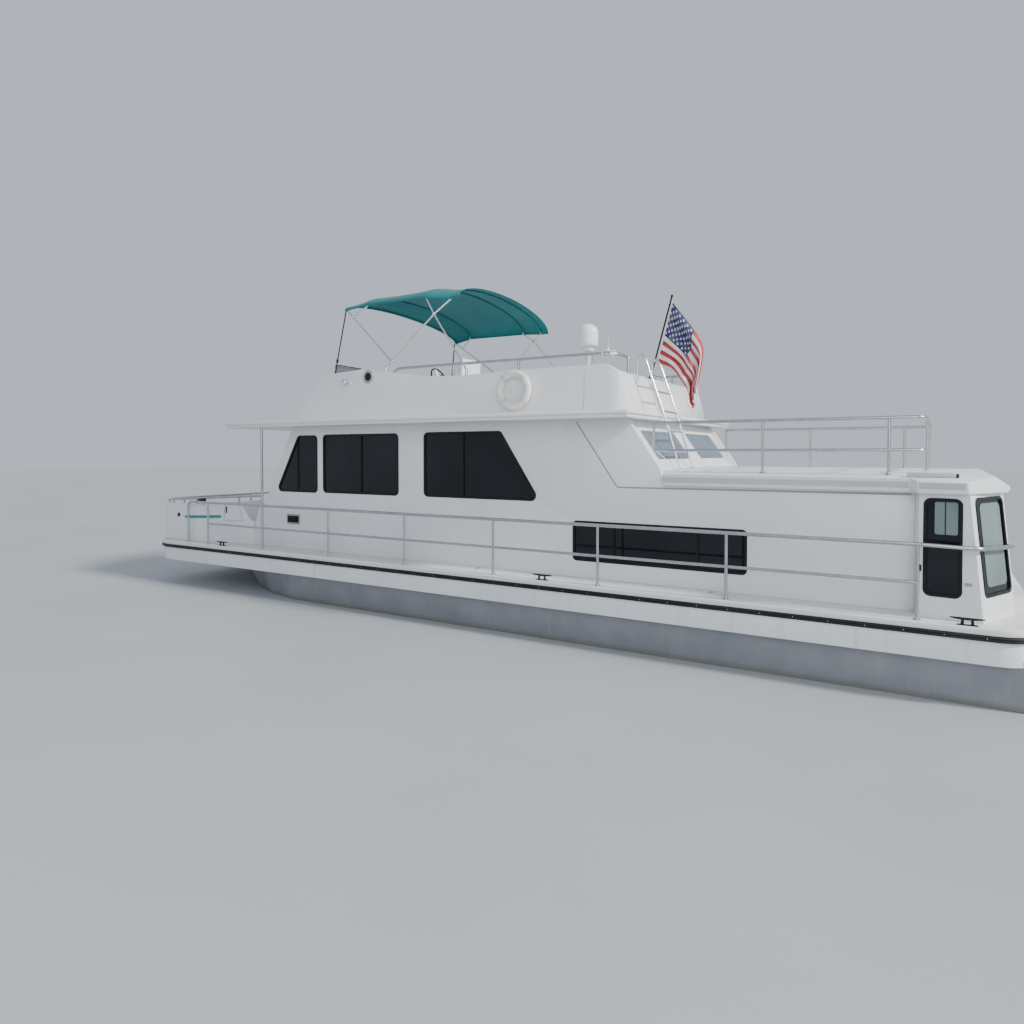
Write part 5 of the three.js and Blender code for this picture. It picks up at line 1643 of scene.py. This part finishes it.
def makeSideVent(settings):
    (x0, x1), (z0, z1) = settings["x"], settings["z"]
    outline = rounded(rect(x0 + 0.012, x1 - 0.012, z0 + 0.012, z1 - 0.012), 0.012, 5)
    frame = [windowLoop([(x, cabinY, z) for x, z in outline], (0, 1, 0))]
    panel = [roundedBlock((x0 + 0.02, 1.69, z0 + 0.02), (x1 - 0.02, 1.7015, z1 - 0.02), 0.002)]
    for k in range(settings["slats"]):
        z = z0 + 0.026 + (z1 - z0 - 0.052) * (k + 0.5) / settings["slats"]
        turn = Quaternion((1, 0, 0), -0.6)
        panel.append(
            roundedBlock((x0 + 0.026, 1.698, z - 0.007), (x1 - 0.026, 1.71, z + 0.007), 0.0015, 2, turn)
        )
    makePair("ventFrame", frame, greyTrimAndGrooveShade)
    makePair("ventLouvres", panel, blackPlastic)


makeSideVent(sideVent)

sideLamp = dict(x=(5.06, 5.24), y=(1.895, 1.962), z=(1.3455, 1.428))


def makeSideLamps(settings):
    (x0, x1), (y0, y1), (z0, z1) = settings["x"], settings["y"], settings["z"]
    base = roundedBlock((x0 - 0.01, y0 - 0.002, z0), (x1 + 0.02, y1, z0 + 0.01), 0.003)
    body = roundedBlock((x0, y0, z0 + 0.006), (x1 - 0.02, y1, z1), 0.012, 3)
    lens = roundedBlock((x1 - 0.04, y0 + 0.004, z0 + 0.012), (x1 + 0.008, y1 + 0.003, z1 - 0.006), 0.014, 3)
    makePair("lampBase", [base], frameWhite)
    makePair("lampBody", [body], blackPlastic)
    makePiece("lampLens_port", [lens], redLens)
    makePiece("lampLens_starboard", mirroredY([lens]), greenLens)


makeSideLamps(sideLamp)
print("deck and side fittings made")


# stern quarter: the tall window's clear upper pane, the corner pane, and small fittings

quarterPanes = dict(
    tallX=(-5.307, -5.484), tallZ=(1.466, 1.757), tallBar=-5.389, cornerShares=(0.26, 0.86),
    cornerZ=(1.01, 1.745),
)


def facetPanel(a, b, shares, heights, radius, front, back):  # a thin pane on a quarter face
    outline = facetOutline(a, b, shares, heights, radius, 5)
    return skin([[facetPoint(a, b, *spot, depth) for spot in outline] for depth in (front, back)])


def makeQuarterPanes(settings):
    tallZ, shares = settings["tallZ"], [tallShare(x) for x in settings["tallX"]]
    corner = facetPanel(
        "corner", "fold", settings["cornerShares"], settings["cornerZ"], 0.05, 0.0065, 0.0085,
    )
    panes = [facetPanel("flare", "corner", shares, tallZ, 0.018, 0.0065, 0.0085), corner]
    bar = tallShare(settings["tallBar"])
    bars = [facetPanel("flare", "corner", (bar - 0.008, bar + 0.008), tallZ, 0.001, 0.0035, 0.0065)]
    lock = facetPoint("flare", "corner", 0.02, 1.155)
    bars.append(roundedBlock(lock - Vector((0.014, 0.006, 0.03)), lock + Vector((0.014, 0.01, 0.03)), 0.004))
    oval = blockAt(facetPoint("flare", "corner", 0.81, 1.044), (0.03, 0.006, 0.014), 0.012, 3)
    makePair("quarterPanes", panes, paleGlass)
    makePair("quarterBars", bars, frameBlack)
    makePair("quarterVent", [oval], greyTrimAndGrooveShade)


makeQuarterPanes(quarterPanes)

sternDoor = dict(
    y=(-0.36, 0.36), z=(deckTop + 0.0002, 1.78), faceX=-5.892, border=0.045,
    pull=(-0.3, -0.25, 1.15, 1.33),
)
frontDoor = dict(
    y=(-0.64, 0.06), z=(deckTop + 0.0002, 2.44), depth=-0.068, border=0.045,
    pull=(-0.59, -0.54, 1.45, 1.63),
)


def doorFrame(pointAt, y0, y1, z0, z1, border):  # thin border strips, also of a flush pull
    spans = [
        (y0, y0 + border, z0, z1), (y1 - border, y1, z0, z1), (y0 + border, y1 - border, z0, z0 + border),
        (y0 + border, y1 - border, z1 - border, z1),
    ]
    faces = [[[pointAt(*at, proud) for at in rect(*span)] for proud in (-0.001, 0.002)] for span in spans]
    return [skin(rings) for rings in faces]


def sternDoorPoint(y, z, proud):
    return Vector((sternDoor["faceX"] + quarter["rake"] * (z - rakeFoot) - proud, y, z))


def frontDoorPoint(y, z, proud):
    return Vector((wallX(front, z, frontDoor["depth"]) + proud, y, z))


def makeDoorFrame(name, door, pointAt):
    parts = doorFrame(pointAt, *door["y"], *door["z"], door["border"])
    parts += doorFrame(pointAt, *door["pull"], 0.01)
    makePiece(name + "DoorFrame", parts, satinRail, name + "_door")


makeDoorFrame("stern", sternDoor, sternDoorPoint)
makeDoorFrame("front", frontDoor, frontDoorPoint)
print("stern quarter and doors finished")


# flybridge fittings

horn = dict(x=1.775, z=3.296, slats=(-0.9, -0.55, -0.2, 0.2, 0.55, 0.9))
dockLamp = dict(x=2.185, z=3.225, aim=(1, 0.25, -0.1))
aerial = dict(x=-1.946, y=1.44, clamps=(-0.05, 0.06))


def flySideY(z):  # the flybridge's side leans in as it rises
    return 1.6 - 0.05 * min(max((z - 2.6653) / (3.3 - 2.6653), 0), 1)


def makeHorn(settings):
    x, z = settings["x"], settings["z"]
    y = flySideY(z)
    ring = [
        (0.06, -0.004), (0.096, -0.004), (0.098, 0.01), (0.092, 0.018), (0.078, 0.02), (0.072, 0.012),
        (0.06, 0.01),
    ]
    rings = [[(x + r * math.cos(a), y + h, z + r * math.sin(a)) for r, h in ring] for a in turns(48)]
    face = [(0, -0.004), (0.072, -0.004), (0.072, 0.008), (0.036, 0.014), (0, 0.016)]
    grille = [lathe(face, (x, y, z), (0, 1, 0), 40)]
    for slat in settings["slats"]:
        wide, high = polar(0.055, slat)
        grille.append(tube([(x + end * wide, y + 0.012, z + high) for end in (-1, 1)], 0.002, 8))
    makePiece("hornRim", [skin(rings, True)], satinRail)
    makePiece("hornGrille", grille, blackPlastic)


makeHorn(horn)


def makeDockLamps(settings):
    x, z = settings["x"], settings["z"]
    y = flySideY(z)
    bracket = [roundedBlock((x - 0.025, y - 0.004, z - 0.035), (x + 0.025, y + 0.01, z + 0.035), 0.004)]
    bracket.append(tube([(x, y, z), (x, y + 0.045, z + 0.01)], 0.009, 12))
    shell = [
        (0, -0.04), (0.03, -0.036), (0.042, -0.018), (0.045, 0.016), (0.043, 0.022), (0.038, 0.018),
        (0, 0.016),
    ]
    glass = [(0, 0.012), (0.038, 0.0165), (0.037, 0.021), (0, 0.024)]
    aimed = (x, y + 0.06, z + 0.012), settings["aim"], 28
    makePair("dockLamp", bracket + [lathe(shell, *aimed)], stainless)
    makePair("dockLampGlass", [lathe(glass, *aimed)], lampGlass)


makeDockLamps(dockLamp)


def makeAerial(settings):
    x, y = settings["x"], settings["y"]
    parts = [roundedBlock((x - 0.09, y - 0.045, 3.3955), (x + 0.1, y + 0.045, 3.4065), 0.004)]
    for s in settings["clamps"]:
        low, high = (x + s - 0.012, y - 0.045, 3.35), (x + s + 0.012, y + 0.045, 3.398)
        parts.append(roundedBlock(low, high, 0.006))
    whip = [
        (0, 3.405), (0.022, 3.405), (0.022, 3.42), (0.009, 3.432), (0.0035, 3.444), (0.0028, 3.535),
        (0.0065, 3.541), (0.0065, 3.552), (0, 3.556),
    ]
    parts.append(lathe(whip, (x, y, 0), sides=20))
    makePiece("aerial", parts, frameWhite)


makeAerial(aerial)


windscreenTrim = dict(
    thick=0.0075, bend=0.03,
    port=[
        (1.966, 1.491, 3.427), (2.42, 1.476, 3.511), (2.478, 1.457, 3.521), (2.568, 1.427, 3.521),
        (2.628, 1.309, 3.521), (2.647, 0.0, 3.521),
    ],
)


def makeWindscreenTrim(settings):
    port = settings["port"]
    whole = filleted(port + [(x, -y, z) for x, y, z in reversed(port[:-1])], settings["bend"], 4)
    makePiece("windscreenTrim", [tube(whole, settings["thick"], 10)], frameBlack)


makeWindscreenTrim(windscreenTrim)


roofPlank = dict(x=(-5.47, -5.08), y=(1.66, 1.74), z=(1.967, 2.012))


def makeRoofPlank(settings):  # a low boarding plank stowed on the aft roof, with an end cap
    (x0, x1), (y0, y1), (z0, z1) = settings["x"], settings["y"], settings["z"]
    plank = roundedBlock((x0, y0, z0), (x1, y1, z1), 0.01, 3)
    cap = roundedBlock((x0 - 0.022, y0 + 0.004, z0 - 0.002), (x0 + 0.01, y1 - 0.004, z1 - 0.009), 0.006)
    makePiece("roofPlank", [plank], plankGreyAndBandShade)
    makePiece("roofPlankCap", [cap], blackPlastic)


makeRoofPlank(roofPlank)
print("flybridge and roof fittings made")


# rows of screws and stitches

rowSizes = dict(
    railScrew=(0.009, 0.009, 0.004), railGap=0.3, skirtScrew=(0.011, 0.011, 0.004), skirtGap=0.22,
    stitch=(0.009, 0.0022, 0.0016), stitchGap=0.014, topLines=(2.352, 2.016, 1.944, 0.906, 0.834, 0.373),
)


def makeRows(settings):
    railY, raised = deckEdge["halfBeam"] - 0.0022, canopy["lift"] + 0.0032
    stitch = settings["stitchGap"], settings["stitch"]
    for side, sign in (("port", 1), ("starboard", -1)):
        rail = [(x, railY * sign, 0.63) for x in (5.7, 2.0, -2.0, -5.7)]
        facing = (0, sign, 0)
        makeRow(
            "rubRailScrews_" + side, [rail], settings["railGap"], settings["railScrew"], facing,
            stainless,
        )
        skirt = [(x, flySideY(2.69) * sign, 2.69) for x in (3.05, 1.0, -1.0, -2.0)]
        makeRow(
            "skirtScrews_" + side, [skirt], settings["skirtGap"], settings["skirtScrew"], facing,
            stainless,
        )
        hem = [canopyPoint(x, sign * 0.975, raised) for x in canopyLength(40)]
        makeRow("sideStitches_" + side, [hem], *stitch, (0, sign, 0.3), threadTeal, 6)
    across = [[canopyPoint(x, 0.96 * t, raised) for t in evenly(60)] for x in settings["topLines"]]
    makeRow("topStitches", across, *stitch, (0, 0, 1), threadTeal, 6)


makeRows(rowSizes)
print("screws and stitches made")
